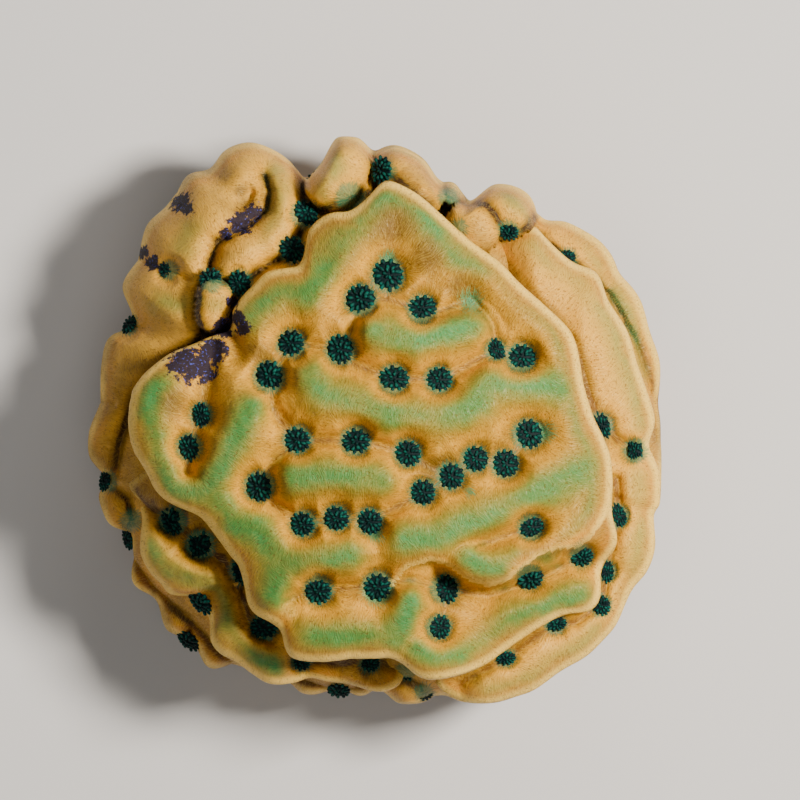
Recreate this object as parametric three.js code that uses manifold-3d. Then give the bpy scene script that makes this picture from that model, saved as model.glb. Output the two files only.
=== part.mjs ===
import * as THREE from 'three';
import { mergeVertices } from 'three/addons/utils/BufferGeometryUtils.js';
import Module from 'manifold-3d';

// A lobed coral colony of stacked plates on a mound, cut flat below where it grew on rock.
// Lengths are in millimetres, +Z is up, and the origin is at the middle of the flat base.

// Driving dimensions
const colonyWidth = 80;
const colonyHeight = 46;
const baseWidth = 56;
const crownDomeDrop = 7.5;
const skirtStep = 4.6;
const rimThickness = 3.4;
const plateRimLevel = 27;
const leftPlateRise = 6;
const rightPlateRise = 7;
const crownValley = { depth: 3.7, floorHalf: 1.3 };
const leftValley = { depth: 3.2, floorHalf: 1 };
const rightValley = { depth: 2, floorHalf: 0.8 };
const moundCrease = { depth: 4.8, reach: 4.8 };
const polypPit = { depth: 0.6, reach: 1.6 };
const polypDome = { height: 0.9, sunk: 0.8 };
const seamLevel = 20;
const seamGap = 0.5;

// Plan points are whole steps, x to the right and y to the front, with 582 steps across the colony
const planSteps = 582;
const planMiddle = [375, 421];
const step = colonyWidth / planSteps;

// Rims, as points in order round each body
const crownRim = [
  [388, 180], [415, 192], [440, 213], [470, 240], [500, 262], [520, 283], [548, 308], [570, 330], [578, 350],
  [583, 380], [589, 403], [595, 420], [605, 440], [611, 458], [613, 481], [612, 503], [613, 518], [618, 538],
  [615, 550], [605, 563], [601, 577], [602, 591], [599, 603], [590, 612], [573, 614], [560, 617], [535, 631],
  [509, 649], [484, 666], [458, 676], [433, 680], [418, 677], [404, 665], [390, 658], [374, 659], [351, 659],
  [327, 662], [301, 661], [289, 656], [284, 647], [283, 636], [276, 626], [256, 615], [248, 605], [244, 585],
  [238, 565], [232, 558], [215, 535], [200, 517], [180, 508], [165, 500], [155, 490], [145, 470], [133, 450],
  [128, 425], [130, 400], [135, 385], [150, 368], [172, 352], [195, 343], [213, 335], [230, 330], [232, 318],
  [233, 310], [243, 295], [255, 283], [266, 272], [284, 268], [299, 265], [305, 250], [308, 231], [320, 218],
  [333, 212], [349, 211], [365, 200], [376, 188],
];
const leftPlateRim = [
  [127, 484], [134, 495], [141, 517], [139, 544], [141, 558], [150, 574], [160, 584], [170, 595], [195, 598],
  [203, 609], [209, 621], [210, 641], [219, 654], [236, 663], [252, 675], [270, 685], [293, 684], [310, 679],
  [329, 683], [348, 685], [367, 691], [380, 693], [393, 690], [402, 682], [404, 660], [380, 620], [330, 575],
  [270, 520], [215, 470], [165, 462],
];
const rightPlateRim = [
  [530, 224], [541, 231], [552, 243], [573, 261], [595, 270], [603, 282], [609, 300], [628, 330], [638, 363],
  [648, 391], [656, 420], [650, 444], [655, 458], [661, 475], [661, 504], [655, 515], [656, 547], [648, 572],
  [632, 592], [618, 624], [604, 641], [586, 658], [560, 673], [535, 691], [509, 700], [484, 706], [460, 702],
  [440, 690], [430, 665], [455, 620], [490, 570], [502, 520], [505, 470], [495, 400], [480, 330], [472, 280],
  [500, 240],
];
const silhouette = [
  [349, 132], [360, 136], [369, 145], [375, 148], [382, 145], [396, 143], [414, 150], [427, 160], [439, 176],
  [454, 179], [462, 188], [474, 198], [489, 184], [503, 181], [519, 184], [532, 192], [540, 204], [549, 217],
  [568, 219], [595, 234], [606, 244], [615, 257], [621, 272], [633, 285], [642, 298], [647, 312], [652, 330],
  [660, 352], [664, 370], [663, 403], [666, 426], [666, 466], [663, 504], [656, 515], [658, 547], [650, 572],
  [634, 592], [620, 624], [605, 642], [586, 661], [560, 675], [535, 693], [509, 702], [484, 708], [458, 703],
  [445, 698], [431, 704], [406, 711], [380, 694], [361, 700], [338, 695], [311, 698], [297, 694], [287, 686],
  [236, 669], [208, 671], [192, 647], [165, 632], [153, 603], [128, 584], [127, 540], [105, 526], [96, 495],
  [105, 480], [95, 468], [83, 445], [96, 405], [98, 367], [105, 338], [126, 324], [128, 307], [120, 285],
  [136, 256], [145, 224], [165, 205], [176, 188], [188, 172], [209, 167], [224, 148], [250, 140], [279, 151],
  [298, 167], [304, 176], [322, 157], [336, 134],
];

// Valleys between the ridges, as lines along their floors
const crownGrooves = [
  [[361, 299], [388, 300], [422, 309], [440, 312], [471, 301], [490, 325], [496, 350], [475, 362],
    [439, 380], [394, 379], [355, 365], [341, 350], [352, 330], [361, 299]],
  [[388, 300], [388, 276], [389, 262]],
  [[496, 350], [521, 358], [528, 359]],
  [[341, 350], [292, 344], [270, 377], [272, 407], [285, 425], [298, 440]],
  [[298, 440], [356, 441], [408, 453], [430, 468], [451, 476], [475, 459], [505, 464], [528, 434],
    [537, 431]],
  [[298, 440], [275, 460], [260, 486], [275, 505], [304, 524], [337, 518], [370, 521], [400, 505],
    [423, 492], [451, 476]],
  [[476, 547], [500, 537], [531, 527]],
  [[285, 600], [319, 590], [378, 586], [410, 580], [445, 589], [439, 627]],
  [[445, 589], [490, 594], [530, 580], [582, 556]],
  [[214, 345], [205, 400], [202, 415], [190, 447], [188, 472]],
  [[232, 335], [238, 355]],
];
const leftGrooves = [
  [[130, 490], [150, 507], [172, 521], [200, 545], [225, 562], [240, 590], [250, 620], [270, 640]],
  [[193, 600], [192, 618]],
  [[301, 661], [340, 664], [370, 662], [400, 668]],
];
const rightGrooves = [
  [[500, 262], [535, 300], [575, 345], [590, 400], [601, 426], [618, 440], [636, 451]],
  [[616, 480], [619, 516], [612, 545], [607, 570], [602, 606], [575, 622], [556, 624], [506, 658],
    [460, 685]],
];

// Creases between the round lobes of the mound, and shallower notches in its lobes
const moundCreases = [
  [[264, 174], [269, 190], [266, 208], [252, 220], [232, 230], [216, 242], [209, 262], [207, 278]],
  [[207, 278], [198, 292], [197, 312], [203, 332], [190, 348], [160, 370], [132, 398], [118, 440],
    [112, 476]],
  [[211, 281], [241, 283], [268, 264], [293, 251], [306, 215], [352, 199]],
  [[306, 215], [302, 192], [302, 172], [304, 160]],
  [[241, 283], [238, 300], [232, 318], [215, 338], [203, 332]],
  [[352, 199], [374, 190], [376, 172], [374, 150]],
  [[383, 170], [398, 180], [430, 205]],
  [[444, 172], [446, 190], [449, 200]],
  [[449, 200], [470, 199], [488, 206], [500, 222], [505, 236], [525, 229], [541, 208]],
  [[541, 206], [530, 228], [568, 257], [612, 292], [642, 345], [660, 400], [662, 440]],
  [[100, 482], [125, 500], [130, 521], [118, 548], [150, 590], [190, 625], [180, 655]],
  [[190, 625], [236, 676], [300, 684], [338, 697], [406, 680], [425, 700]],
  [[372, 688], [380, 700]],
  [[406, 680], [440, 706]],
];
const moundNotches = [
  [[134, 258], [152, 264], [168, 270], [190, 278]],
  [[122, 324], [142, 327]],
  [[176, 190], [181, 206]],
  [[463, 186], [470, 199]],
  [[96, 402], [112, 404]],
  [[250, 190], [240, 205]],
];

// Crest lines along the tops of the ridges
const crownCrests = [
  [[250, 313], [282, 288], [307, 291], [333, 256], [347, 236], [380, 200]],
  [[385, 195], [409, 196], [436, 230], [461, 248], [485, 260]],
  [[538, 557], [508, 566], [487, 566], [470, 557]],
  [[545, 480], [575, 460], [590, 470], [592, 489]],
  [[311, 377], [326, 396], [358, 402], [390, 412], [430, 415], [462, 412], [481, 400], [491, 381],
    [506, 388], [558, 386]],
  [[375, 330], [397, 336], [416, 340], [450, 332], [475, 327]],
  [[294, 477], [340, 474], [380, 480]],
  [[585, 470], [557, 484], [500, 510], [436, 538], [405, 540]],
  [[156, 387], [144, 417], [156, 459], [172, 488], [190, 493], [208, 491]],
  [[252, 406], [236, 436], [222, 463], [208, 491], [218, 509], [229, 523], [254, 530], [273, 548],
    [280, 562], [277, 580], [273, 596]],
  [[282, 562], [309, 560], [348, 555]],
  [[316, 639], [348, 639], [390, 645], [400, 630], [411, 602]],
  [[419, 652], [437, 668], [471, 653], [497, 639], [509, 624], [554, 608], [579, 597]],
  [[485, 260], [519, 296], [551, 327], [568, 364], [567, 383], [580, 432], [591, 457]],
  [[592, 489], [589, 515], [570, 536], [538, 557]],
];
const leftCrests = [
  [[149, 545], [160, 570], [200, 590], [212, 600], [220, 630], [240, 650], [275, 668]],
];
const rightCrests = [
  [[532, 236], [550, 256], [580, 277], [600, 305], [620, 345], [634, 385], [643, 415], [646, 440]],
  [[646, 440], [640, 480], [642, 520], [640, 560], [622, 600], [590, 640], [540, 675], [490, 692]],
];

// Polyps, as places with a width, each a low dome in a pit
const crownPolyps = [
  [388, 276, 32], [361, 300, 31], [422, 309, 28], [341, 350, 29], [292, 344, 27], [270, 377, 30],
  [394, 379, 28], [439, 380, 26], [496, 350, 20], [521, 358, 28], [298, 440, 27], [356, 441, 28],
  [408, 453, 28], [260, 486, 30], [475, 459, 26], [451, 476, 27], [505, 464, 28], [423, 492, 26],
  [528, 434, 30], [304, 524, 26], [337, 518, 26], [370, 521, 26], [531, 527, 25], [202, 415, 22],
  [190, 447, 25], [319, 590, 28], [378, 586, 29], [445, 589, 28], [439, 627, 24], [530, 577, 24],
  [582, 556, 22],
];
const leftPolyps = [
  [172, 521, 26], [200, 545, 28], [193, 610, 26], [244, 571, 27], [264, 627, 26], [301, 663, 18],
  [370, 664, 18],
];
const rightPolyps = [
  [601, 426, 24], [636, 451, 22], [619, 516, 20], [607, 572, 19], [602, 606, 20], [556, 624, 19],
  [506, 658, 18],
];
const moundPolyps = [
  [352, 199, 27], [306, 215, 26], [293, 251, 26], [241, 283, 24], [211, 281, 21], [130, 521, 19],
  [105, 482, 19], [126, 324, 18], [168, 270, 17], [113, 547, 19], [180, 650, 25], [338, 694, 18],
  [406, 672, 17], [425, 694, 16], [383, 170, 22], [449, 197, 18], [458, 228, 15], [509, 231, 19],
  [568, 257, 16], [308, 156, 24],
];

// Swellings and one wide hollow on the mound, each with a height
const moundSwellings = [
  { at: [278, 185], reach: 34, rise: 1.5 },
  { at: [250, 196], reach: 30, rise: -3 },
  { at: [190, 215], reach: 34, rise: 1.2 },
];

// Round lobes that stand up between the plates, as a line with a radius and the levels of its two ends
const moundLobes = [
  { line: [[473, 226], [474, 227]], radius: 28, tops: [36.6, 36.6] },
  { line: [[508, 206], [509, 207]], radius: 32, tops: [35, 35] },
  { line: [[452, 189], [453, 190]], radius: 15, tops: [32.5, 32.5] },
  { line: [[345, 160], [333, 182]], radius: 29, tops: [31.5, 35] },
  { line: [[404, 168], [416, 190]], radius: 30, tops: [31.5, 35] },
  { line: [[214, 296], [212, 314]], radius: 18, tops: [36, 35.2] },
];

const toPlace = ([x, y]) => new THREE.Vector2((x - planMiddle[0]) * step, (planMiddle[1] - y) * step);
const toPath = (points) => points.map(toPlace);
const smooth = (value, from, to) => THREE.MathUtils.smoothstep(value, from, to);
const clamp = THREE.MathUtils.clamp;
const mix = THREE.MathUtils.lerp;
const bump = (distance, reach) => (distance < reach ? 0.5 + 0.5 * Math.cos((Math.PI * distance) / reach) : 0);

// The distance to a path, positive to the right of its direction and negative to the left
function offsetFromPath(place, path) {
  let nearest = Infinity;
  let side = 1;
  for (let i = 1; i < path.length; i++) {
    const along = path[i].clone().sub(path[i - 1]);
    const reached = place.clone().sub(path[i - 1]);
    const share = clamp(reached.dot(along) / along.lengthSq(), 0, 1);
    const distance = reached.clone().addScaledVector(along, -share).length();
    if (distance < nearest) {
      nearest = distance;
      side = reached.cross(along) < 0 ? -1 : 1;
    }
  }
  return nearest * side;
}

const distanceTo = (place, paths) => Math.min(...paths.map((path) => Math.abs(offsetFromPath(place, path))));

// The distance from a middle to a closed rim, for every direction
const headingCount = 720;

function rimAround(points, middle) {
  const origin = toPlace(middle);
  const corners = toPath(points).map((place) => new THREE.Vector3(place.x, place.y, 0));
  const curve = new THREE.CatmullRomCurve3(corners, true, 'catmullrom', 0.5);
  const samples = curve.getPoints(points.length * 8).map((place) => {
    const arm = new THREE.Vector2(place.x - origin.x, place.y - origin.y);
    return { angle: arm.angle(), radius: arm.length() };
  });
  samples.sort((one, other) => one.angle - other.angle);
  const exact = (turn) => {
    const after = Math.max(samples.findIndex((sample) => sample.angle > turn), 0);
    const next = samples[after];
    const last = samples[(after + samples.length - 1) % samples.length];
    const gap = THREE.MathUtils.euclideanModulo(next.angle - last.angle, 2 * Math.PI);
    const passed = THREE.MathUtils.euclideanModulo(turn - last.angle, 2 * Math.PI);
    return gap > 0 ? mix(last.radius, next.radius, passed / gap) : next.radius;
  };
  const radii = Array.from({ length: headingCount }, (_, i) => exact((i / headingCount) * 2 * Math.PI));
  const averaged = (half) => radii.map((_, i) => {
    let total = 0;
    for (let k = -half; k <= half; k++) total += radii[(i + k + headingCount) % headingCount];
    return total / (2 * half + 1);
  });
  const lookUp = (table) => (heading) => {
    const at = THREE.MathUtils.euclideanModulo(heading / (2 * Math.PI), 1) * headingCount;
    const low = Math.floor(at);
    return mix(table[low % headingCount], table[(low + 1) % headingCount], at - low);
  };
  const radius = lookUp(averaged(2));
  const softRadius = lookUp(averaged(28));
  const shareOf = (place, around) => {
    const arm = place.clone().sub(origin);
    return arm.length() / around(arm.angle());
  };
  const share = (place) => shareOf(place, radius);
  const softShare = (place) => shareOf(place, softRadius);
  return { origin, radius, softRadius, share, softShare };
}

const crown = rimAround(crownRim, [375, 430]);
const left = rimAround(leftPlateRim, [255, 575]);
const right = rimAround(rightPlateRim, [545, 470]);
const colony = rimAround(silhouette, planMiddle);

// Polyps by place and radius, and the distance from the edge of the nearest one
const toDisc = ([x, y, width]) => ({ place: toPlace([x, y]), radius: (width * step) / 2 });
const toDiscs = (polyps) => polyps.map(toDisc);
const gapTo = (place, discs) => Math.min(...discs.map((disc) => place.distanceTo(disc.place) - disc.radius));

// Walls climb from a valley floor or a polyp's edge to the nearest crest, which is flat on top
const crest = { flat: 0.78, limit: 6, from: 0.2, full: 3, round: 0.5, roundReach: 4 };

function hollowsOf(grooves, crests, polyps, { depth, floorHalf }) {
  const floors = grooves.map(toPath);
  const crestPaths = crests.map(toPath);
  const discs = toDiscs(polyps);
  return (place) => {
    const fromPolyp = gapTo(place, discs);
    const fromFloor = Math.max(Math.min(distanceTo(place, floors) - floorHalf, fromPolyp), 0);
    const toCrest = Math.min(distanceTo(place, crestPaths), crest.limit);
    const share = Math.min(fromFloor / (fromFloor + toCrest + crest.from) / crest.flat, 1);
    const valley = depth * (1 - share) ** 2 * smooth(toCrest, crest.from, crest.full);
    const pit = polypPit.depth * bump(Math.max(fromPolyp + polypPit.reach, 0), polypPit.reach);
    return valley + pit + crest.round * Math.min(toCrest / crest.roundReach, 1) ** 2;
  };
}

const crownHollows = hollowsOf(crownGrooves, crownCrests, crownPolyps, crownValley);
const leftHollows = hollowsOf(leftGrooves, leftCrests, leftPolyps, leftValley);
const rightHollows = hollowsOf(rightGrooves, rightCrests, rightPolyps, rightValley);

// The crown's lower right lip, where its surface steps down to the skirt between these headings
const lipPath = toPath([
  [640, 478], [612, 497], [604, 518], [593, 538], [577, 549], [558, 551], [540, 557], [520, 572], [508, 582],
  [490, 588], [475, 585], [460, 577], [445, 566], [430, 562], [408, 568], [385, 600],
]);
const lip = { end: -1.36, full: -1.05, fade: -0.62, start: -0.26, halfWidth: 2.3 };

function crownTop(place) {
  const arm = place.clone().sub(crown.origin);
  const heading = Math.atan2(arm.y, arm.x);
  const pastLip = -offsetFromPath(place, lipPath);
  const stepShare = smooth(heading, lip.end, lip.full) * (1 - smooth(heading, lip.fade, lip.start));
  const stepDown = skirtStep * stepShare * smooth(pastLip, -lip.halfWidth, lip.halfWidth);
  return colonyHeight - crownDomeDrop * crown.softShare(place) ** 2 - stepDown - crownHollows(place);
}

// The crown's underside, kept clear of the plates below
const underside = { middle: 27, rim: 34.4, from: 0.55, lip: 0.4, lipFrom: 0.9 };
const crownUnder = (share) => mix(underside.middle, underside.rim, smooth(share, underside.from, 1))
  - underside.lip * smooth(share, underside.lipFrom, 1);

// A lower plate rises inwards from its rim, and dives where the crown lies over it
const dive = { underCrown: 1.2, underTop: 4.4, riseFrom: -3, riseTo: 11 };

function lowerPlateTop(rim, hollows, rise, hiddenTo, hiddenFrom) {
  return (place) => {
    const arm = place.clone().sub(rim.origin);
    const inward = rim.radius(arm.angle()) - arm.length();
    const own = plateRimLevel + rise * smooth(inward, dive.riseFrom, dive.riseTo) - hollows(place);
    const share = crown.share(place);
    const low = Math.min(crownUnder(share) - dive.underCrown, crownTop(place) - dive.underTop);
    return Math.min(own, mix(own, low, 1 - smooth(share, hiddenTo, hiddenFrom)));
  };
}

// A plate is a round ball of triangles pressed flat: its cap is the top, the rest the underside and stalk
const plate = { cap: THREE.MathUtils.degToRad(112), fold: 0.16, stalkAt: 0.62, taper: 1.3, thinnest: 0.8 };
const plateInner = { hangFrom: 0.05, hangTo: 0.4, bottomFrom: 0.44, bottomTo: 0.6 };

function pressPlate({ rim, top, under, stalk, edge }, detail, grown = 0) {
  const bottom = seamLevel + seamGap;
  const half = rimThickness / 2;
  const geometry = ballOf(detail);
  const points = geometry.attributes.position;
  const direction = new THREE.Vector3();
  for (let i = 0; i < points.count; i++) {
    direction.fromBufferAttribute(points, i).normalize();
    const tilt = Math.acos(clamp(direction.z, -1, 1));
    const heading = Math.atan2(direction.y, direction.x);
    const reach = rim.radius(heading);
    const ray = new THREE.Vector2(Math.cos(heading), Math.sin(heading));
    const placeAt = (radius) => rim.origin.clone().addScaledVector(ray, radius);
    let share;
    let level;
    if (tilt <= plate.cap) {
      share = Math.sin(tilt / 2) / Math.sin(plate.cap / 2);
      const inset = Math.min(1, ((1 - share) * reach) / edge);
      level = top(placeAt(share * reach)) - half * (1 - Math.sqrt(1 - (1 - inset) ** 2));
    } else {
      const along = (tilt - plate.cap) / (Math.PI - plate.cap);
      const pastStalk = (along - plate.stalkAt) / (1 - plate.stalkAt);
      const narrowed = mix(1, stalk, (along / plate.stalkAt) ** plate.taper);
      share = pastStalk < 0 ? narrowed : mix(stalk, 0, pastStalk);
      const hang = top(placeAt(reach)) - half - half * smooth(along, 0, plate.fold);
      const thin = top(placeAt(share * reach)) - plate.thinnest * rimThickness;
      const inner = Math.min(hang, under(share), thin);
      level = mix(inner, bottom, smooth(along, plateInner.bottomFrom, plateInner.bottomTo));
      level = mix(hang, level, smooth(along, plateInner.hangFrom, plateInner.hangTo));
    }
    const place = placeAt(share * reach + grown);
    points.setXYZ(i, place.x, place.y, tilt <= plate.cap ? level + grown : level - grown);
  }
  return geometry;
}

function ballOf(detail) {
  const ball = new THREE.IcosahedronGeometry(1, detail);
  ball.deleteAttribute('normal');
  ball.deleteAttribute('uv');
  return mergeVertices(ball, 1e-5);
}

// Shoulder height of the mound by heading in degrees: high at the back and back left, low at the front
const shoulders = [
  [-180, 27], [-150, 28], [-120, 29], [-90, 30], [-60, 30], [-30, 29], [0, 29], [30, 29], [50, 30],
  [70, 33], [90, 35], [110, 35], [130, 36], [150, 34], [165, 30], [180, 27],
];

function shoulderLevel(heading) {
  const degrees = THREE.MathUtils.euclideanModulo(THREE.MathUtils.radToDeg(heading) + 180, 360) - 180;
  const after = Math.max(1, shoulders.findIndex(([angle]) => angle >= degrees));
  const [fromAngle, fromLevel] = shoulders[after - 1];
  const [toAngle, toLevel] = shoulders[after];
  return mix(fromLevel, toLevel, smooth(degrees, fromAngle, toAngle));
}

// Lobes bulge like cushions between narrow creases
const notchShare = 0.5;
const creaseBend = 0.9;
const creasePaths = moundCreases.map(toPath);
const notchPaths = moundNotches.map(toPath);
const moundDiscs = toDiscs(moundPolyps);
const cushion = (distance, share) => {
  const reach = moundCrease.reach * mix(0.4, 1, share);
  const inward = 1 - Math.min(distance / reach, 1);
  return share * moundCrease.depth * (1 - Math.sqrt(1 - creaseBend * inward ** 2));
};

function moundHollows(place) {
  const creases = cushion(distanceTo(place, creasePaths), 1);
  const notches = cushion(distanceTo(place, notchPaths), notchShare);
  const pit = polypPit.reach * (1 - smooth(gapTo(place, moundDiscs), 0, polypPit.reach));
  return Math.max(creases, notches, pit);
}

const swellings = moundSwellings.map(({ at, reach, rise }) => ({
  place: toPlace(at),
  reach: reach * step,
  rise,
}));
const toLobe = ({ line, radius, tops }) => ({ path: toPath(line), radius: radius * step, tops });
const lobes = moundLobes.map(toLobe);

// How far a lobe stands above a level, or none where it lies lower
function lobeLift(place, level) {
  let lift = 0;
  for (const { path: [start, end], radius, tops } of lobes) {
    const along = end.clone().sub(start);
    const share = clamp(place.clone().sub(start).dot(along) / along.lengthSq(), 0, 1);
    const inside = radius ** 2 - place.distanceToSquared(start.clone().addScaledVector(along, share));
    if (inside > 0) lift = Math.max(lift, mix(tops[0], tops[1], share) - radius + Math.sqrt(inside) - level);
  }
  return lift;
}

// Ledges that wander round the flank, broken by swellings, always inside the colony's outline
const ledge = { depth: 3, spacing: 9, inset: 3.6 };

function flankRelief(heading, level) {
  const wander = 0.9 * Math.sin(2 * heading + 0.5) + 0.6 * Math.sin(5 * heading);
  const fold = (Math.PI * level) / ledge.spacing + wander;
  const swell = 1.1 * Math.sin(7 * heading + 0.25 * level) + 0.5 * Math.sin(11 * heading - 0.3 * level + 1.3);
  return ledge.depth * Math.abs(Math.cos(fold)) ** 0.8 + swell - ledge.inset;
}

// The mound's meridian from the hidden pad, up its wall, over the shoulder, down the flank and under the foot
const meridian = { pad: 0.06, wall: 0.11, widest: 0.62, foot: 0.94 };
const padShare = 0.42;
const wallShare = 0.53;
const footShare = baseWidth / colonyWidth;
const widestLevel = 17;
const shoulderDrop = 8;
// The mesh is closest at the back left, where the mound shows most
const crowding = 0.45;
const crowdedHeading = 2.2;
// The rim of the mound already follows its notches, so creases cut less there
const edgeNotch = 0.14;
const flankInset = 0.6;

function moundPoint(along, heading) {
  const shoulder = shoulderLevel(heading);
  const widest = Math.min(shoulder - shoulderDrop, widestLevel);
  if (along <= meridian.pad) return { share: padShare * (along / meridian.pad), level: seamLevel };
  if (along <= meridian.wall) {
    const climb = (along - meridian.pad) / (meridian.wall - meridian.pad);
    return { share: mix(padShare, wallShare, climb), level: mix(seamLevel, shoulder, climb), upward: climb };
  }
  if (along <= meridian.widest) {
    const turn = ((along - meridian.wall) / (meridian.widest - meridian.wall)) * (Math.PI / 2);
    return {
      share: mix(wallShare, 1, Math.sin(turn)),
      level: mix(widest, shoulder, Math.cos(turn)),
      upward: Math.cos(turn),
      outward: Math.sin(turn),
    };
  }
  if (along <= meridian.foot) {
    const turn = ((along - meridian.widest) / (meridian.foot - meridian.widest)) * (Math.PI / 2);
    return {
      share: mix(footShare, 1, Math.cos(turn)),
      level: Math.max(0, widest * (1 - Math.sin(turn))),
      outward: Math.cos(turn),
    };
  }
  return { share: (footShare * (1 - along)) / (1 - meridian.foot), level: 0 };
}

function pressMound(around, rows) {
  const ball = new THREE.SphereGeometry(1, around, rows);
  ball.rotateX(Math.PI / 2);
  ball.deleteAttribute('normal');
  ball.deleteAttribute('uv');
  const geometry = mergeVertices(ball, 1e-5);
  const points = geometry.attributes.position;
  const direction = new THREE.Vector3();
  for (let i = 0; i < points.count; i++) {
    direction.fromBufferAttribute(points, i).normalize();
    const along = Math.acos(clamp(direction.z, -1, 1)) / Math.PI;
    const turn = Math.atan2(direction.y, direction.x);
    const heading = turn - crowding * Math.sin(turn - crowdedHeading);
    const ray = new THREE.Vector2(Math.cos(heading), Math.sin(heading));
    const { share, level, upward = 0, outward = 0 } = moundPoint(along, heading);
    const soften = smooth(along, meridian.widest, meridian.widest + 0.24);
    const reach = mix(colony.radius(heading), colony.softRadius(heading) - flankInset, soften);
    const place = colony.origin.clone().addScaledVector(ray, share * reach);
    const start = meridian.widest - 0.06 + 0.04 * Math.sin(3 * heading + 1);
    const onFlank = smooth(along, start, start + 0.22) * (1 - smooth(along, meridian.foot - 0.1, 1));
    let rise = -moundHollows(place) * (1 - onFlank);
    for (const one of swellings) rise += one.rise * bump(place.distanceTo(one.place), one.reach);
    const folded = Math.min(0, flankRelief(heading, level)) * onFlank;
    place.addScaledVector(ray, Math.min(0, rise) * outward * edgeNotch + folded);
    const raised = level + rise * upward;
    const lift = along > meridian.wall ? lobeLift(place, raised) * smooth(upward, 0.05, 0.6) : 0;
    points.setXYZ(i, place.x, place.y, raised + lift);
  }
  return geometry;
}

const wasm = await Module();
wasm.setup();

function toSolid(geometry) {
  const vertProperties = Float32Array.from(geometry.attributes.position.array);
  const triVerts = Uint32Array.from(geometry.index.array);
  return new wasm.Manifold(new wasm.Mesh({ numProp: 3, vertProperties, triVerts }));
}

function toGeometry(solid) {
  const { vertProperties, triVerts } = solid.getMesh();
  const geometry = new THREE.BufferGeometry();
  geometry.setAttribute('position', new THREE.BufferAttribute(vertProperties, 3));
  geometry.setIndex(new THREE.BufferAttribute(triVerts, 1));
  return geometry;
}

// The upper surface's level at a place, from the nearest points of a pressed body
const surfaceNeighbours = 3;

function levelOn(geometry, place, above) {
  const points = geometry.attributes.position;
  const near = [];
  for (let i = 0; i < points.count; i++) {
    const distance = Math.hypot(points.getX(i) - place.x, points.getY(i) - place.y);
    if (points.getZ(i) > above) near.push({ distance, level: points.getZ(i) });
  }
  near.sort((one, other) => one.distance - other.distance);
  const closest = near.slice(0, surfaceNeighbours);
  return closest.reduce((total, point) => total + point.level, 0) / closest.length;
}

// One low dome for each polyp, fused to the body it grows from
const domeSides = 6;
const domeRows = 4;

function withDomes(solid, polyps, levelAt) {
  return toDiscs(polyps).reduce((grown, { place, radius }) => {
    const dome = new THREE.SphereGeometry(1, domeSides, domeRows);
    dome.rotateX(Math.PI / 2);
    dome.deleteAttribute('normal');
    dome.deleteAttribute('uv');
    const round = mergeVertices(dome, 1e-5);
    round.scale(radius, radius, polypDome.height + polypDome.sunk);
    round.translate(place.x, place.y, levelAt(place) - polypDome.sunk);
    return grown.add(toSolid(round));
  }, solid);
}

// Each plate makes room for itself in what lies below, as the same shape a little larger on every side
const roomFor = (form, detail) => toSolid(pressPlate(form, detail, seamGap));
const plateTolerance = 0.2;
const moundTolerance = 0.25;

// A cut can leave crumbs behind a thin edge, and only the largest piece is kept
function largestOf(solid, tolerance) {
  const pieces = solid.simplify(tolerance).decompose();
  return pieces.reduce((best, piece) => (piece.volume() > best.volume() ? piece : best));
}

function body(name, solid, color) {
  const geometry = toGeometry(solid);
  geometry.computeVertexNormals();
  const material = new THREE.MeshStandardMaterial({ color, roughness: 0.62, metalness: 0 });
  const mesh = new THREE.Mesh(geometry, material);
  mesh.name = name;
  return mesh;
}

const lowUnderside = () => 22.5;
const leftTop = lowerPlateTop(left, leftHollows, leftPlateRise, 0.95, 1.02);
const rightTop = lowerPlateTop(right, rightHollows, rightPlateRise, 0.9, 0.97);
const crownForm = { rim: crown, top: crownTop, under: crownUnder, stalk: 0.55, edge: 2.6 };
const leftForm = { rim: left, top: leftTop, under: lowUnderside, stalk: 0.7, edge: 2.4 };
const rightForm = { rim: right, top: rightTop, under: lowUnderside, stalk: 0.7, edge: 2.4 };
const crownDetail = 11;
const lowPlateDetail = 6;
const moundAround = 90;
const moundRows = 19;
// Polyps on the steep edge of the mound are pits only
const seatedShare = 0.9;

const crownGrown = withDomes(toSolid(pressPlate(crownForm, crownDetail)), crownPolyps, crownTop);
const crownPlate = largestOf(crownGrown, plateTolerance);
const crownRoom = roomFor(crownForm, crownDetail);
const leftGrown = withDomes(toSolid(pressPlate(leftForm, lowPlateDetail)), leftPolyps, leftTop);
const leftPlate = largestOf(leftGrown.subtract(crownRoom), plateTolerance);
const rightGrown = withDomes(toSolid(pressPlate(rightForm, lowPlateDetail)), rightPolyps, rightTop);
const rightPlate = largestOf(rightGrown.subtract(crownRoom), plateTolerance);
const leftRoom = roomFor(leftForm, lowPlateDetail);
// The right plate's inner side is steep, so its room also holds copies of it moved inwards and down
const movedInwards = rightPlate.translate([-seamGap, 0, 0]);
const movedDown = rightPlate.translate([0, 0, -seamGap]);
const rightRoom = roomFor(rightForm, lowPlateDetail).add(movedInwards).add(movedDown);
const plateRooms = crownRoom.add(leftRoom).add(rightRoom);
const moundForm = pressMound(moundAround, moundRows);
const moundLevel = (place) => levelOn(moundForm, place, widestLevel);
const seatedPolyps = moundPolyps.filter((polyp) => colony.share(toPlace(polyp)) < seatedShare);
const moundGrown = withDomes(toSolid(moundForm), seatedPolyps, moundLevel);
const mound = largestOf(moundGrown.subtract(plateRooms), moundTolerance);

const coral = new THREE.Group();
coral.add(
  body('crown_plate', crownPlate, '#c9a56a'),
  body('left_plate', leftPlate, '#cf9d62'),
  body('right_plate', rightPlate, '#d09a60'),
  body('mound', mound, '#b98450'),
);

export default coral;
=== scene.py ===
import math

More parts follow.
